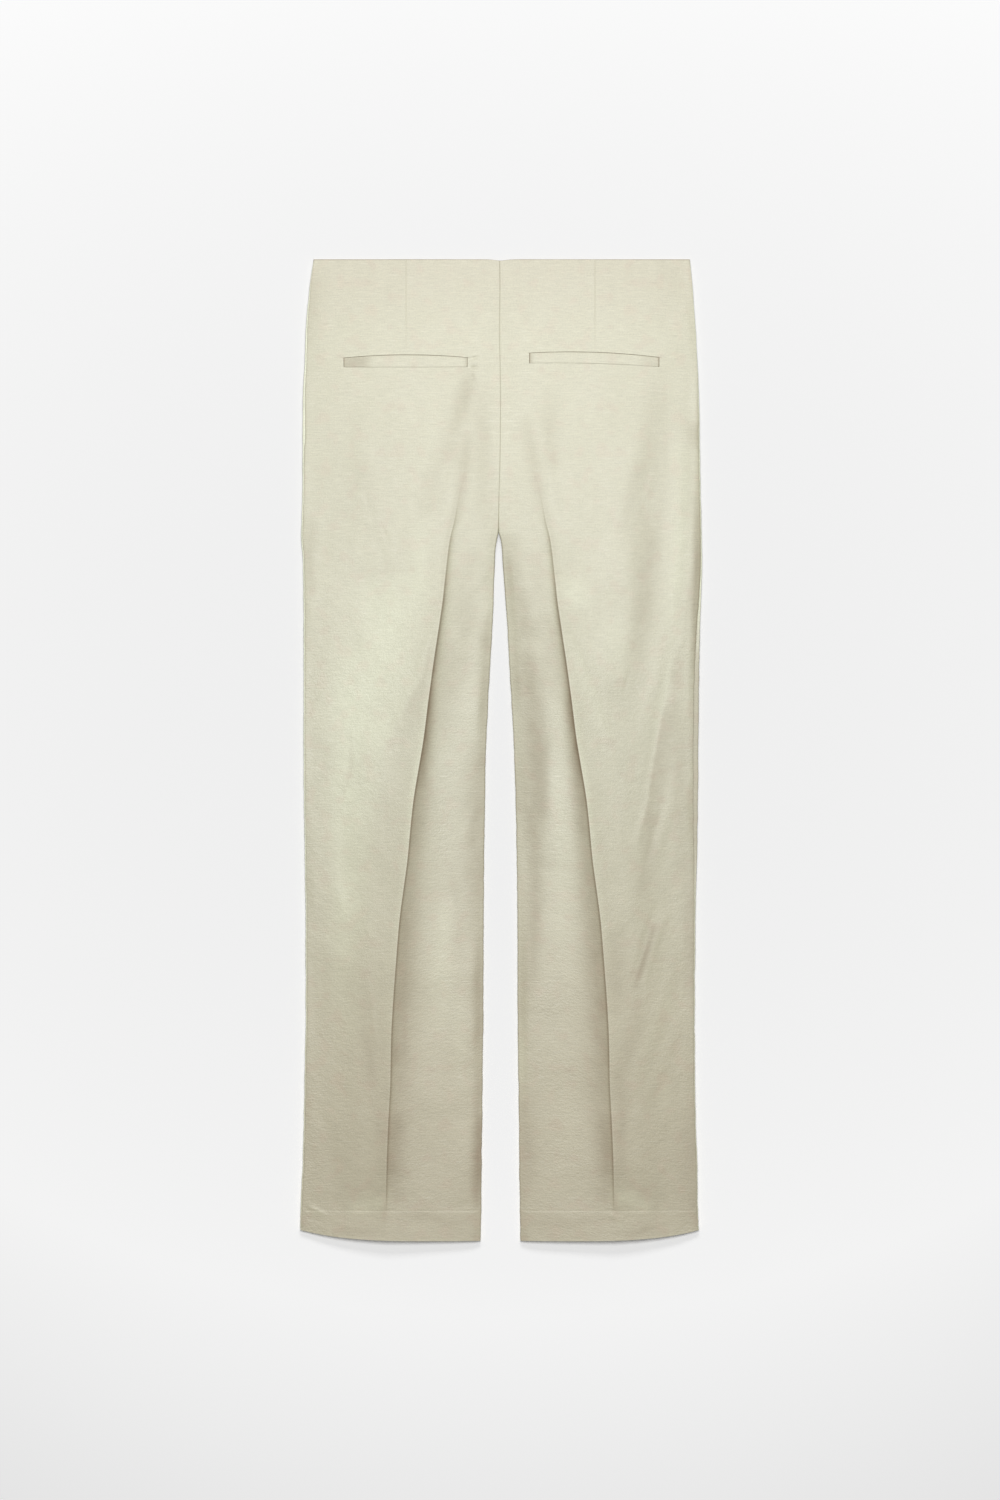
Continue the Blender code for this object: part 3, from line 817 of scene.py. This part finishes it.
def hemRelief(side, out, down):
    # the turned-up layer under the cloth raises a band, and its stitched edge draws a fine line
    line = 0.07 * bell(down - cut["hemLine"] - 0.2, 0.7)
    band = 0.07 * smoothStep(cut["hemLine"] - 0.4, cut["hemLine"] + 1.4, down)
    return (band - line) * smoothStep(1, 6, fromSeams(side, out, down))


def backSurface(side):
    base = rows[:, None]
    out = backOut(side, base)
    down = rowDown(side, base, out, shareAcross(side, out, base))
    out = backOut(side, down)
    radius, angle = edges.read("backRadius", down), edges.read("backAngle", down)
    drop = bendOf(radius, angle, *padded(bendShares, bendTails))[1]
    bent = np.arange(backCount) < len(bendShares)
    height = np.where(bent, form.read("inner", down) - drop, backLevel(side, out, down))
    fromSeam = (sideSeam(side, down) - out) / seams.read(f"reach_{side}", down)
    height -= seams.read(f"dip_{side}", down) * np.clip(1 - fromSeam, 0, 1) ** 2
    height += hemRelief(side, out, down) - dartGroove(out, down)
    lip = smoothStep(0, 6, fromEnds(side, out)) * bell(weltEdge(side, "top", out) - down - 0.9, 0.8)
    height += pocket["lip"] * lip - pocket["recess"] * welting(side, out, down)
    return out, down, height


# how strong the painted shade is in each crease, seam, slit and recess
creviceShades = {
    "crease": 0.5,
    "dart": 0.1,
    "slit": 0.5,
    "waist": 0.25,
    "inseam": 0.22,
    "sideSeam": 0.3,
    "underWelt": 0.95,  # how much paler the pocket's lower edge is
}


def paintCreviceShade(side, out, down):
    # painted shade in a brown, where cloth lies deep: along the crease's nip, the dart, the welt's slit, the
    # waist edge, the crotch seam and the side seams' dips, and inside the pocket's opening
    across = out * sides[side]
    away = out - creaseOf(side, down)
    depth = np.minimum(pressed.read("nip", down) / 3, 1)
    tone = np.where(away < 0.4, creviceShades["crease"] * depth * bell(np.maximum(-away, 0) - 0.6, 1.0), 0)
    dart = bell(out - cut["dartOut"], 0.4) * (0.6 + 0.4 * unevenness(down * 0 + sides[side], down, 3, 51))
    tone = tone + np.where(down < cut["dartEnd"], creviceShades["dart"] * dart, 0)
    below = smoothStep(2.5, 1.0, weltEdge(side, "bottom", out) - down)
    below = below * smoothStep(3, 20, welts[side]["ends"][1] - out)
    tone = tone + (1 - creviceShades["underWelt"] * below) * welting(side, out, down)
    slit = bell(weltEdge(side, "top", out) - down, 0.4) * smoothStep(-1, 0, fromEnds(side, out))
    tone = tone + creviceShades["slit"] * slit * (0.8 + 0.3 * unevenness(across, down, 7, 72))
    tone = tone + creviceShades["waist"] * bell(down, 0.5) * (0.6 + 0.4 * unevenness(across, down, 6, 52))
    inseam = smoothStep(280, 292, down) * bell(out - innerEdge(side, down), 0.9)
    dip = seams.read(f"dip_{side}", down) * bell(sideSeam(side, down) - out, 1.0)
    tone = tone + creviceShades["inseam"] * inseam + creviceShades["sideSeam"] * dip
    return np.clip(tone, 0, 1)


def wornness(side, out, down):
    # how crumpled the cloth is: smooth in the seat, more so down the legs and beside the seams
    worn = 0.45 + 0.40 * smoothStep(290, 430, down) + 0.25 * bell(fromSeams(side, out, down), 22)
    patches = 0.5 + 0.5 * unevenness(out * sides[side], down, 34, 41)
    return worn * (0.6 + 0.8 * patches)


def hemThickness(side, out, down):
    doubled = smoothStep(3, 12, fromSeams(side, out, down))
    doubled = doubled * smoothStep(cut["hemLine"] - 0.5, cut["hemLine"] + 0.5, down)
    return blend(cloth["thickness"], cloth["hemThickness"], doubled)


def quads(index):
    corners = (index[:-1, :-1], index[1:, :-1], index[1:, 1:], index[:-1, 1:])
    return np.stack(corners, axis=-1).reshape(-1, 4)


# painted shade in creases and recesses, painted shade and highlight from the tilt of the satin, and how
# crumpled the cloth is
toneNames = ("deep", "shade", "worn")  # told to the material at each point


def meshPiece(name, points, faces, spread, tones):
    # a mesh with its cloth coordinates and its named tones at each point
    mesh = bpy.data.meshes.new(name)
    mesh.from_pydata(points.reshape(-1, 3).tolist(), [], faces)
    layer = mesh.uv_layers.new(name="cloth")
    corners = np.empty(len(mesh.loops), dtype=np.int32)
    mesh.loops.foreach_get("vertex_index", corners)
    layer.data.foreach_set("uv", spread.reshape(-1, 2)[corners].ravel())
    for tone, values in tones.items():
        attribute = mesh.attributes.new(tone, "FLOAT", "POINT")
        attribute.data.foreach_set("value", np.asarray(values, dtype=np.float32).ravel())
    mesh.shade_smooth()
    mesh.set_sharp_from_angle(angle=math.radians(70))
    piece = bpy.data.objects.new(name, mesh)
    bpy.context.scene.collection.objects.link(piece)
    return piece


def shell(name, side, surface, along, thickness, tones, faceUp, upright):
    # a closed thin wall on a grid of points; upright is 1 where its thickness is measured straight up
    out, down, height = surface
    points = place(side, out, down, height)
    turned = sides[side] * (1 if faceUp else -1)
    normal = np.cross(np.gradient(points, axis=0), np.gradient(points, axis=1)) * turned
    normal /= np.linalg.norm(normal, axis=-1, keepdims=True)
    straight = np.array((0, 0, 1.0 if faceUp else -1.0))
    way = blend(normal, straight, upright[..., None])
    way /= np.linalg.norm(way, axis=-1, keepdims=True)
    inside = points - way * thickness[..., None] * mm
    count = out.size
    index = np.arange(count).reshape(out.shape)
    outer = quads(index)
    rim = np.concatenate((index[0, :], index[1:, -1], index[-1, -2::-1], index[-2:0:-1, 0]))
    following = np.roll(rim, -1)
    wall = np.stack((rim, following, following + count, rim + count), axis=-1)
    faces = np.concatenate((outer, (outer + count)[:, ::-1], wall))
    if turned < 0:
        faces = faces[:, ::-1]
    spread = np.stack((along * mm, down * mm), axis=-1)
    doubled = {tone: np.concatenate((values, values)) for tone, values in tones.items()}
    return meshPiece(name, np.stack((points, inside)), faces.tolist(), np.stack((spread, spread)), doubled)


def shadeTone(side, out, down):
    # painted shade on the crease's fall and along the soft strokes, in uneven patches; painted highlights
    # along the welt's slit and its ends, and just outside the crease where its rim is above 0
    inwards = creaseOf(side, down) - out
    shade, at, wide = (pressed.read(name, down) for name in ("shade", "shadeAt", "shadeReach"))
    fall = shade * bell(inwards - at, wide) * smoothStep(-0.8, 0.2, inwards)
    strokes = strokeSum(shades[side], *loosened(side, out, down))
    across = out * sides[side]
    patches = 0.12 * unevenness(across, down, 17, 35) + 0.16 * unevenness(across, down * 0.5, 5, 36)
    top = weltEdge(side, "top", out)
    inland = fromEnds(side, out)
    rim = bell(top - down - 1.0, 0.8) * smoothStep(-1, 4, inland)
    rim = rim + bell(inland + 0.8, 0.6) * (down > top) * (down < top + 10)
    beside = pressed.read("rim", down) * bell(-inwards - 2.5, 3) * (inwards < 0)
    return (fall + strokes) * (1 + patches) - 0.2 * rim - beside


def makeBack(side):
    out, down, height = backSurface(side)
    tones = {
        "deep": paintCreviceShade(side, out, down),
        "shade": shadeTone(side, out, down),
        "worn": wornness(side, out, down),
    }
    # a painted highlight along the hem's bottom edge
    lowest = bell(rows - cut["length"] + 1.2, 1.0)[:, None]
    tones["shade"] = tones["shade"] - 0.3 * lowest * (0.6 + 0.5 * unevenness(out * sides[side], down, 11, 71))
    thickness = hemThickness(side, out, down)
    upright = smoothStep(2.0, 6.0, fromSeams(side, out, down))
    return shell(f"back_{side}", side, (out, down, height), out, thickness, tones, True, upright)


front = {"flat": 46, "turn": 12, "top": 4}  # columns of the flat part, the turn at the side and its top


def frontColumns(side, down):
    # a front panel: its inner edge bends up, it lies flat, turns up at the side and ends on top at the seam
    bendCount = len(bendShares)
    count = bendCount + front["flat"] + front["turn"] + front["top"]
    number = np.arange(count)
    angle = edges.read("frontAngle", down)
    bend = [np.concatenate((row, np.zeros(count - bendCount))) for row in (bendShares, bendTails)]
    across, drop, flat = bendOf(1.55 * 90 / np.maximum(angle, 4), angle, *bend)
    inner = innerEdge(side, down)
    radius = cut["edgeHeight"] / 2
    bulge = np.minimum(turnWidth, 0.6 * seams.read(f"turn_{side}", down))
    turn = outerEdge(side, down) - bulge
    seam = sideSeam(side, down) + cut["seamGap"] / 2
    share = np.clip((number - bendCount) / front["flat"], 0, 1)
    turned = np.clip((number - bendCount - front["flat"]) / front["turn"], 0, 1) * math.pi
    last = np.clip((number - bendCount - front["flat"] - front["turn"]) / (front["top"] - 1), 0, 1)
    bent = number < bendCount
    out = np.where(bent, inner + across, blend(inner + flat, turn, share) + bulge * np.sin(turned))
    out = blend(out, seam, last)
    dip = np.minimum(seams.read(f"dip_{side}", down), 0.5) * last**3
    height = np.where(bent, drop, radius * (1 - np.cos(turned)) - dip)
    length = np.where(last > 0, turn + radius * math.pi + (turn - out), out)
    length = np.where((turned > 0) & (last == 0), turn + radius * turned, length)
    return np.broadcast_arrays(out, height, length, turned, share)


def frontRelief(side, out, down):
    # the cloth rests flat, with shallow hollows beside its crease and between soft folds
    away = np.abs(out - creaseOf(side, down) - 6)
    hollow = 0.5 * bell(away - 7, 5.5) * smoothStep(230, 330, down) * (1 - smoothStep(985, 1000, down))
    across = out * sides[side]
    lumps = 0.5 * np.maximum(unevenness(across, down * 0.6, 34, 21), 0)
    return hollow + lumps + 0.22 * np.maximum(unevenness(across, down, 12, 22), 0)


def makeFront(side):
    base = rows[:, None]
    out = frontColumns(side, base)[0]
    down = rowDown(side, base, out, shareAcross(side, out, base))
    out, height, length, turned, share = frontColumns(side, down)
    flatness = smoothStep(0, 0.06, share) * smoothStep(1, 0.94, share)
    rise = cut["frontRise"] * (1 - smoothStep(0, cut["waistFade"], down)) * (height < 1.2)
    height = height + flatness * frontRelief(side, out, down)
    tones = {
        # painted shade along the front's waist edge, under the back's edge
        "deep": 0.55 * bell(down, 2.5) + np.zeros(out.shape),
        # on the front's turned edge: a painted highlight where the column is below 0, painted shade where it
        # is above
        "shade": seams.read(f"paintedLight_{side}", down) * smoothStep(0.5, 1.5, turned),
        "worn": np.full(out.shape, 0.7),
    }
    thickness = hemThickness(side, out, down)
    upright = flatness * (turned == 0)
    return shell(f"front_{side}", side, (out, down - rise, height), length, thickness, tones, False, upright)


# a welt's section, a folded strip: which edge a point belongs to (0 top, 1 bottom), in from it, and depth
weltSection = Table(
    "down edge inset depth",
    (0, 0, 0.42, 0),
    (1, 0, 0.16, 0.06),
    (2, 0, 0.04, 0.2),
    (3, 0, 0, 0.42),
    (4, 0, 0, 0.8),
    (5, 1, 0, 0.8),
    (6, 1, 0, 0.42),
    (7, 1, 0.01, 0.16),
    (8, 1, 0.06, 0.04),
    (9, 1, 0.3, 0),
    (10, 0.8, 0, 0),
    (11, 0.6, 0, 0),
    (12, 0.4, 0, 0),
    (13, 0.2, 0, 0),
).columns
weltFit = {
    "end": 0.14,  # gaps to the pocket's ends and lower edge
    "bottom": 0.03,
    "slit": (0.1, 0.24),  # the slit's width at its ends and in its middle
    "stand": 0.03,
    "puff": 0.1,
    "steps": 90,
    # painted shade on the welt: at both its ends, and towards its start and its end
    "endShade": {"left": 0.15, "right": 0.6},
    "shadedStart": {"left": 0.2, "right": 0.3},
    "shadedEnd": {"left": (132, 146, 0.36), "right": (138, 166, 0.16)},  # from, to and how much
}


def makeWelt(side):
    # a folded strip that fills its opening level with the panel, with a slit along its top edge
    start, end = welts[side]["ends"]
    first, last = start + weltFit["end"], end - weltFit["end"]
    along = np.linspace(first, last, weltFit["steps"] + 1)
    near = np.array((0, 0.1, 0.3))  # closer columns at both ends
    along = np.concatenate((first + near, along[1:-1], last - near[::-1]))[:, None]
    ends = np.maximum(0.35 - np.minimum(along - first, last - along), 0) ** 2 * 2.4
    middle = 1 - ((along - first) / (last - first) * 2 - 1) ** 2
    top = weltEdge(side, "top", along) + blend(*weltFit["slit"], middle)
    bottom = weltEdge(side, "bottom", along) - weltFit["bottom"]
    edge, inset, depth = (weltSection[name] for name in ("edge", "inset", "depth"))
    down = blend(top, bottom, edge) + inset * np.where(edge < 0.5, 1, -1)
    out = np.broadcast_to(along, down.shape)
    puff = weltFit["puff"] * np.sin(math.pi * edge) * (depth == 0)
    height = backLevel(side, out, down) + weltFit["stand"] + puff - depth - ends * (depth < 0.5)
    index = np.arange(down.size).reshape(down.shape)
    ring = np.concatenate((index, index[:, :1]), axis=1)
    faces = quads(ring).tolist() + [index[0].tolist(), index[-1].tolist()[::-1]]
    if sides[side] < 0:
        faces = [face[::-1] for face in faces]
    # painted shade on the welt's walls down into the slit and at its ends, and towards its start and end
    atEnds = weltFit["endShade"][side] * bell(np.minimum(out - first, last - out), 0.5)
    low, high, amount = weltFit["shadedEnd"][side]
    shaded = amount * smoothStep(low, high, out)
    shaded = shaded + weltFit["shadedStart"][side] * (1 - smoothStep(start + 1, start + 6, out))
    tones = {
        "deep": np.maximum((0.7 - 0.65 * edge) * smoothStep(0.02, 0.5, depth), atEnds),
        "shade": shaded,
        "worn": np.full(down.shape, 0.5),
    }
    spread = np.stack((out, down), axis=-1) * mm
    return meshPiece(f"welt_{side}", place(side, out, down, height), faces, spread, tones)


class Value:
    # wraps a shader socket, so that sums on it add the nodes
    def __init__(self, tree, socket):
        self.tree = tree
        self.socket = socket

    def math(self, operation, *others):
        return node(self.tree, "ShaderNodeMath", {"operation": operation}, [self, *others])

    def __add__(self, other):
        return self.math("ADD", other)

    def __sub__(self, other):
        return self.math("SUBTRACT", other)

    def __mul__(self, other):
        return self.math("MULTIPLY", other)

    def __rsub__(self, other):
        return node(self.tree, "ShaderNodeMath", {"operation": "SUBTRACT"}, [other, self])

    __radd__ = __add__
    __rmul__ = __mul__

    def out(self, name):
        return Value(self.tree, self.socket.node.outputs[name])


def node(tree, kind, settings=None, inputs=None):
    # a node with its settings first, then the values or links of its sockets, by place or by name
    made = tree.nodes.new(kind)
    for name, value in (settings or {}).items():
        setattr(made, name, value)
    pairs = inputs.items() if isinstance(inputs, dict) else enumerate(inputs or [])
    for key, value in pairs:
        if isinstance(value, Value):
            tree.links.new(value.socket, made.inputs[key])
        else:
            made.inputs[key].default_value = value
    usable = [socket for socket in made.outputs if socket.enabled]
    return Value(tree, usable[0]) if usable else made


def mixColour(tree, share, first, second, kind="MIX"):
    settings = {"data_type": "RGBA", "blend_type": kind, "clamp_factor": True}
    return node(tree, "ShaderNodeMix", settings, {0: share, 6: first, 7: second})


def stretched(tree, vector, across, along, turn=0.0):
    # cloth coordinates turned, then counted in steps of the two sizes
    inputs = {"Vector": vector, "Scale": (across, along, 1), "Rotation": (0, 0, turn)}
    return node(tree, "ShaderNodeMapping", {"vector_type": "TEXTURE"}, inputs)


def noise(tree, vector, scale, detail=2.0, roughness=0.5, **extra):
    sockets = {"Vector": vector, "Scale": scale, "Detail": detail, "Roughness": roughness, **extra}
    return node(tree, "ShaderNodeTexNoise", {"noise_dimensions": "3D"}, sockets)


def ramp(tree, value, low, high):
    settings = {"interpolation_type": "SMOOTHSTEP"}
    return node(tree, "ShaderNodeMapRange", settings, [value, low, high, 0.0, 1.0])


linen = {
    "seat": (0.537, 0.519, 0.381, 1),
    "shin": (0.547, 0.498, 0.354, 1),
    "waist": (0.515, 0.487, 0.360, 1),
    # the brown of the painted shade in creases and recesses, what a full painted shade multiplies the colour
    # by, and what a full painted highlight multiplies it by
    "deep": (0.240, 0.165, 0.095, 1),
    "shade": (0.560, 0.480, 0.425, 1),  # what a full shade multiplies the colour by
    "paintedHighlight": (1.270, 1.340, 1.360, 1),
    "blush": (1.000, 0.960, 0.965, 1),
    "slub": (0.700, 0.672, 0.540, 1),
    "threadPitch": 0.00056,
    "weaveHeight": 0.000012,  # heights in metres
    "ribHeight": 0.00005,
    "grainHeight": 0.00016,
    "fineHeight": 0.00017,
    "crinkleHeight": 0.00014,
    "lumpHeight": 0.00032,
    "roughness": 0.42,
    "satin": 1.0,
    "sheen": 0.12,
}


def makeLinen():
    material = bpy.data.materials.new("satin_linen")
    material.use_nodes = True
    tree = material.node_tree
    shader = tree.nodes["Principled BSDF"]
    spread = node(tree, "ShaderNodeUVMap", {"uv_map": "cloth"})
    tones = [node(tree, "ShaderNodeAttribute", {"attribute_name": name}) for name in toneNames]
    deep, shade, worn = (tone.out("Fac") for tone in tones)
    parts = node(tree, "ShaderNodeSeparateXYZ", {}, [spread])
    across, along = parts.out("X"), parts.out("Y")

    mottle = noise(tree, spread, 26.0, 3.0, 0.55)
    patches = noise(tree, spread, 7.0, 2.0, 0.5)
    ribs = noise(tree, stretched(tree, spread, 0.022, 0.0013), 1.0, 3.0, 0.6)
    slubs = ramp(tree, noise(tree, stretched(tree, spread, 0.017, 0.0013), 1.0, 1.0, 0.4), 0.60, 0.82)
    warps = noise(tree, stretched(tree, spread, 0.0009, 0.02), 1.0, 2.0, 0.5)
    grain = noise(tree, spread, 620.0, 2.0, 0.6)

    # darker and warmer towards the hem, partly the cloth's own tone and partly painted shade where the light
    # falls off down the legs; a little darker and pinker at the waist
    colour = mixColour(tree, ramp(tree, along, 0.45, 1.0), linen["seat"], linen["shin"])
    colour = mixColour(tree, ramp(tree, along, 0.09, 0.0), colour, linen["waist"])
    fibres = noise(tree, stretched(tree, spread, 0.011, 0.0010), 1.0, 2.0, 0.6)
    light = 0.47 + 0.08 * mottle + 0.07 * patches + 0.22 * ribs + 0.07 * warps
    light = light + 0.34 * grain + 0.32 * fibres
    grey = node(tree, "ShaderNodeCombineColor", {}, [light, light, light])
    colour = mixColour(tree, 1.0, colour, grey, "MULTIPLY")
    colour = mixColour(tree, slubs * 0.3, colour, linen["slub"])
    blushes = ramp(tree, noise(tree, spread, 62.0, 1.0, 0.5), 0.52, 0.72)
    colour = mixColour(tree, blushes, colour, linen["blush"], "MULTIPLY")
    # painted shade multiplies the colour down, a painted highlight (shade below 0) lifts it, and the brown
    # painted shade goes into creases and recesses
    colour = mixColour(tree, shade.math("MAXIMUM", 0.0), colour, linen["shade"], "MULTIPLY")
    colour = mixColour(tree, (shade * -1.0).math("MAXIMUM", 0.0), colour, linen["paintedHighlight"], "MULTIPLY")
    colour = mixColour(tree, deep, colour, linen["deep"])

    pitch = 2 * math.pi / linen["threadPitch"]
    warp = (across * pitch).math("SINE")
    weft = (along * pitch * 0.8).math("SINE")
    weave = (warp * 0.6 + weft + warp * weft * 0.6) * linen["weaveHeight"]
    lumps = noise(tree, stretched(tree, spread, 0.03, 0.045, 0.5), 1.0, 2.0, 0.5)
    leaning = noise(tree, stretched(tree, spread, 0.006, 0.014, 0.85), 1.0, 2.0, 0.5)
    crossing = noise(tree, stretched(tree, spread, 0.0045, 0.011, -1.1), 1.0, 2.0, 0.5)
    fine = noise(tree, stretched(tree, spread, 0.0045, 0.002, 0.2), 1.0, 2.0, 0.5)
    height = (leaning + crossing * 0.7) * linen["crinkleHeight"] + lumps * linen["lumpHeight"]
    height = height + fine * linen["fineHeight"] + grain * linen["grainHeight"]
    height = height * worn + weave + (slubs * 0.6 + ribs) * linen["ribHeight"]
    bump = node(tree, "ShaderNodeBump", {}, {"Strength": 1.0, "Distance": 1.0, "Height": height})
    rough = linen["roughness"] + 0.08 * mottle - 0.05 * slubs + 0.3 * deep + 0.25 * shade.math("MAXIMUM", 0.0)
    for name, value in (("Base Color", colour), ("Roughness", rough), ("Normal", bump)):
        tree.links.new(value.socket, shader.inputs[name])
    shader.inputs["Specular IOR Level"].default_value = linen["satin"]
    shader.inputs["Sheen Weight"].default_value = linen["sheen"]
    shader.inputs["Sheen Roughness"].default_value = 0.4
    return material


picks = {
    "spacing": 6.5,  # of the hem's blind stitches, in millimetres
    "length": 1.2,
    "thickness": 0.26,
    "above": 1.0,  # over the hem's line
    "inset": 6.0,  # from the seams
    "askew": 0.5,
    "seed": 5,
    "colour": (0.56, 0.515, 0.37, 1),
}


def makeThread():
    material = bpy.data.materials.new("hem_thread")
    material.use_nodes = True
    shader = material.node_tree.nodes["Principled BSDF"]
    shader.inputs["Base Color"].default_value = picks["colour"]
    shader.inputs["Roughness"].default_value = 0.5
    return material


def pickTree(thread):
    # a small askew thread on each point of a line, at even steps
    tree = bpy.data.node_groups.new("hem_picks", "GeometryNodeTree")
    tree.interface.new_socket("Line", in_out="INPUT", socket_type="NodeSocketGeometry")
    for name in ("Spacing", "Length", "Thickness", "Askew"):
        tree.interface.new_socket(name, in_out="INPUT", socket_type="NodeSocketFloat")
    tree.interface.new_socket("Seed", in_out="INPUT", socket_type="NodeSocketInt")
    tree.interface.new_socket("Picks", in_out="OUTPUT", socket_type="NodeSocketGeometry")
    given = node(tree, "NodeGroupInput")
    curve = node(tree, "GeometryNodeMeshToCurve", {}, {"Mesh": given.out("Line")})
    spaced = {"Curve": curve, "Length": given.out("Spacing")}
    points = node(tree, "GeometryNodeCurveToPoints", {"mode": "LENGTH"}, spaced)
    strand = node(tree, "GeometryNodeMeshUVSphere", {}, {"Segments": 8, "Rings": 6, "Radius": 0.5})
    within = {2: 0.6, 3: 1.0, 8: given.out("Seed")}
    chance = node(tree, "FunctionNodeRandomValue", {"data_type": "FLOAT"}, within)
    slant = node(tree, "ShaderNodeCombineXYZ", {}, [0.0, chance * given.out("Askew"), 0.0])
    way = node(tree, "ShaderNodeVectorMath", {"operation": "ADD"}, [points.out("Tangent"), slant])
    turn = node(tree, "FunctionNodeAlignRotationToVector", {"axis": "X"}, {"Vector": way})
    thickness = given.out("Thickness")
    size = node(tree, "ShaderNodeCombineXYZ", {}, [chance * given.out("Length"), thickness, thickness])
    placed = {"Points": points, "Instance": strand, "Rotation": turn, "Scale": size}
    many = node(tree, "GeometryNodeInstanceOnPoints", {}, placed)
    real = node(tree, "GeometryNodeRealizeInstances", {}, [many])
    done = node(tree, "GeometryNodeSetMaterial", {}, {"Geometry": real, "Material": thread})
    node(tree, "NodeGroupOutput", {}, [done])
    return tree


def makeStitches():
    # the blind stitches that hold both hems, as one plain mesh
    points, edgesOfLine = [], []
    for side in sides:
        out, down, height = backSurface(side)
        row = int(np.argmin(np.abs(rows - cut["hemLine"] + picks["above"])))
        out, down, height = out[row], down[row], height[row]
        inland = fromSeams(side, out, down) > picks["inset"]
        line = place(side, out[inland], down[inland], height[inland])
        edgesOfLine += [(len(points) + step, len(points) + step + 1) for step in range(len(line) - 1)]
        points += line.tolist()
    mesh = bpy.data.meshes.new("hem_line")
    mesh.from_pydata(points, edgesOfLine, [])
    stitches = bpy.data.objects.new("hem_stitches", mesh)
    bpy.context.scene.collection.objects.link(stitches)
    modifier = stitches.modifiers.new("picks", "NODES")
    modifier.node_group = pickTree(makeThread())
    for socket in modifier.node_group.interface.items_tree:
        if socket.in_out == "INPUT" and socket.name.lower() in picks:
            value = picks[socket.name.lower()]
            inMetres = socket.name in ("Spacing", "Length", "Thickness")
            modifier[socket.identifier] = value * mm if inMetres else value
    made = stitches.evaluated_get(bpy.context.evaluated_depsgraph_get())
    plain = bpy.data.meshes.new_from_object(made)
    stitches.modifiers.remove(modifier)
    stitches.data = plain
    plain.shade_smooth()
    return stitches


satinLinen = makeLinen()
print("linen woven")
for side in sides:
    for part, make in (("front", makeFront), ("back", makeBack)):
        panel = make(side)
        panel.data.materials.append(satinLinen)
        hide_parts(f"{part}_panel_{side}")
        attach(panel, "root")
        print(f"{side} {part} panel laid")
    welt = makeWelt(side)
    welt.data.materials.append(satinLinen)
    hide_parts(f"pocket_welt_{side}")
    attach(welt, "root")
    print(f"{side} pocket welt set in")
stitches = makeStitches()
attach(stitches, "root")
print("hems stitched")

studio = {
    "frameSize": (1.05, 1.575),  # metres across and down the picture at the cloth
    "middle": (-0.00113, -0.0001),
    "lens": 100.0,
    "sensor": 36.0,
    "clothHeight": 0.009,
    "floor": 0.65,
    "floorGlow": 0.15,
    "floorMiddle": 0.5,
    "floorReach": 6.0,
    "floorHeight": -0.0004,
    "floorWhitest": 0.98,
    "sky": 0.10,
    "keyPlace": (0, 0.40, 2.3),
    "keyAim": (0, 0.40, 0),
    "keySize": (1.0, 1.0),
    "keyPower": 39.5,
    "backPlace": (0, 2.3, 1.7),
    "backAim": (0, 0, 0),
    "backSize": (1.6, 0.7),
    "backPower": 32,
}

scene = bpy.context.scene
cameraData = bpy.data.cameras.new("camera")
cameraData.lens = studio["lens"]
cameraData.sensor_width = studio["sensor"]
camera = bpy.data.objects.new("camera", cameraData)
far = studio["frameSize"][1] * studio["lens"] / studio["sensor"] + studio["clothHeight"]
camera.location = (*studio["middle"], far)
scene.collection.objects.link(camera)
scene.camera = camera


def areaLight(name, at, aim, size, power):
    # a soft light that points from its place towards its aim, in the plane across the trousers
    data = bpy.data.lights.new(name, "AREA")
    data.shape = "RECTANGLE"
    data.size, data.size_y = size
    data.energy = power
    light = bpy.data.objects.new(name, data)
    light.location = at
    light.rotation_euler = (math.atan2(aim[1] - at[1], at[2] - aim[2]), 0, 0)
    scene.collection.objects.link(light)


areaLight("overhead", studio["keyPlace"], studio["keyAim"], studio["keySize"], studio["keyPower"])
areaLight("beyond", studio["backPlace"], studio["backAim"], studio["backSize"], studio["backPower"])

world = bpy.data.worlds.new("studio")
scene.world = world
world.use_nodes = True
world.node_tree.nodes["Background"].inputs["Color"].default_value = (1, 1, 1, 1)
world.node_tree.nodes["Background"].inputs["Strength"].default_value = studio["sky"]
scene.view_settings.view_transform = "Standard"


def makePaper():
    # pale paper, deeper where the overhead light is near, so that it looks even
    material = bpy.data.materials.new("paper")
    material.use_nodes = True
    tree = material.node_tree
    shader = tree.nodes["Principled BSDF"]
    spot = node(tree, "ShaderNodeTexCoord", {}).out("Object")
    parts = node(tree, "ShaderNodeSeparateXYZ", {}, [spot])
    aside, ahead = parts.out("X"), parts.out("Y") - studio["floorMiddle"]
    falls = (aside * aside + ahead * ahead) * (1 / studio["keyPlace"][2] ** 2) + 1.0
    tone = (falls * falls * studio["floor"]).math("MINIMUM", studio["floorWhitest"])
    grey = node(tree, "ShaderNodeCombineColor", {}, [tone, tone, tone])
    tree.links.new(grey.socket, shader.inputs["Base Color"])
    shader.inputs["Roughness"].default_value = 1.0
    shader.inputs["Specular IOR Level"].default_value = 0.0
    shader.inputs["Emission Color"].default_value = (1, 1, 1, 1)
    shader.inputs["Emission Strength"].default_value = studio["floorGlow"]
    return material


reach = studio["floorReach"]
floorMesh = bpy.data.meshes.new("floor")
corners = [(x * reach, y * reach, studio["floorHeight"]) for x, y in ((-1, -1), (1, -1), (1, 1), (-1, 1))]
floorMesh.from_pydata(corners, [], [(0, 1, 2, 3)])
floorMesh.materials.append(makePaper())
floor = bpy.data.objects.new("floor", floorMesh)
scene.collection.objects.link(floor)
print("studio set")
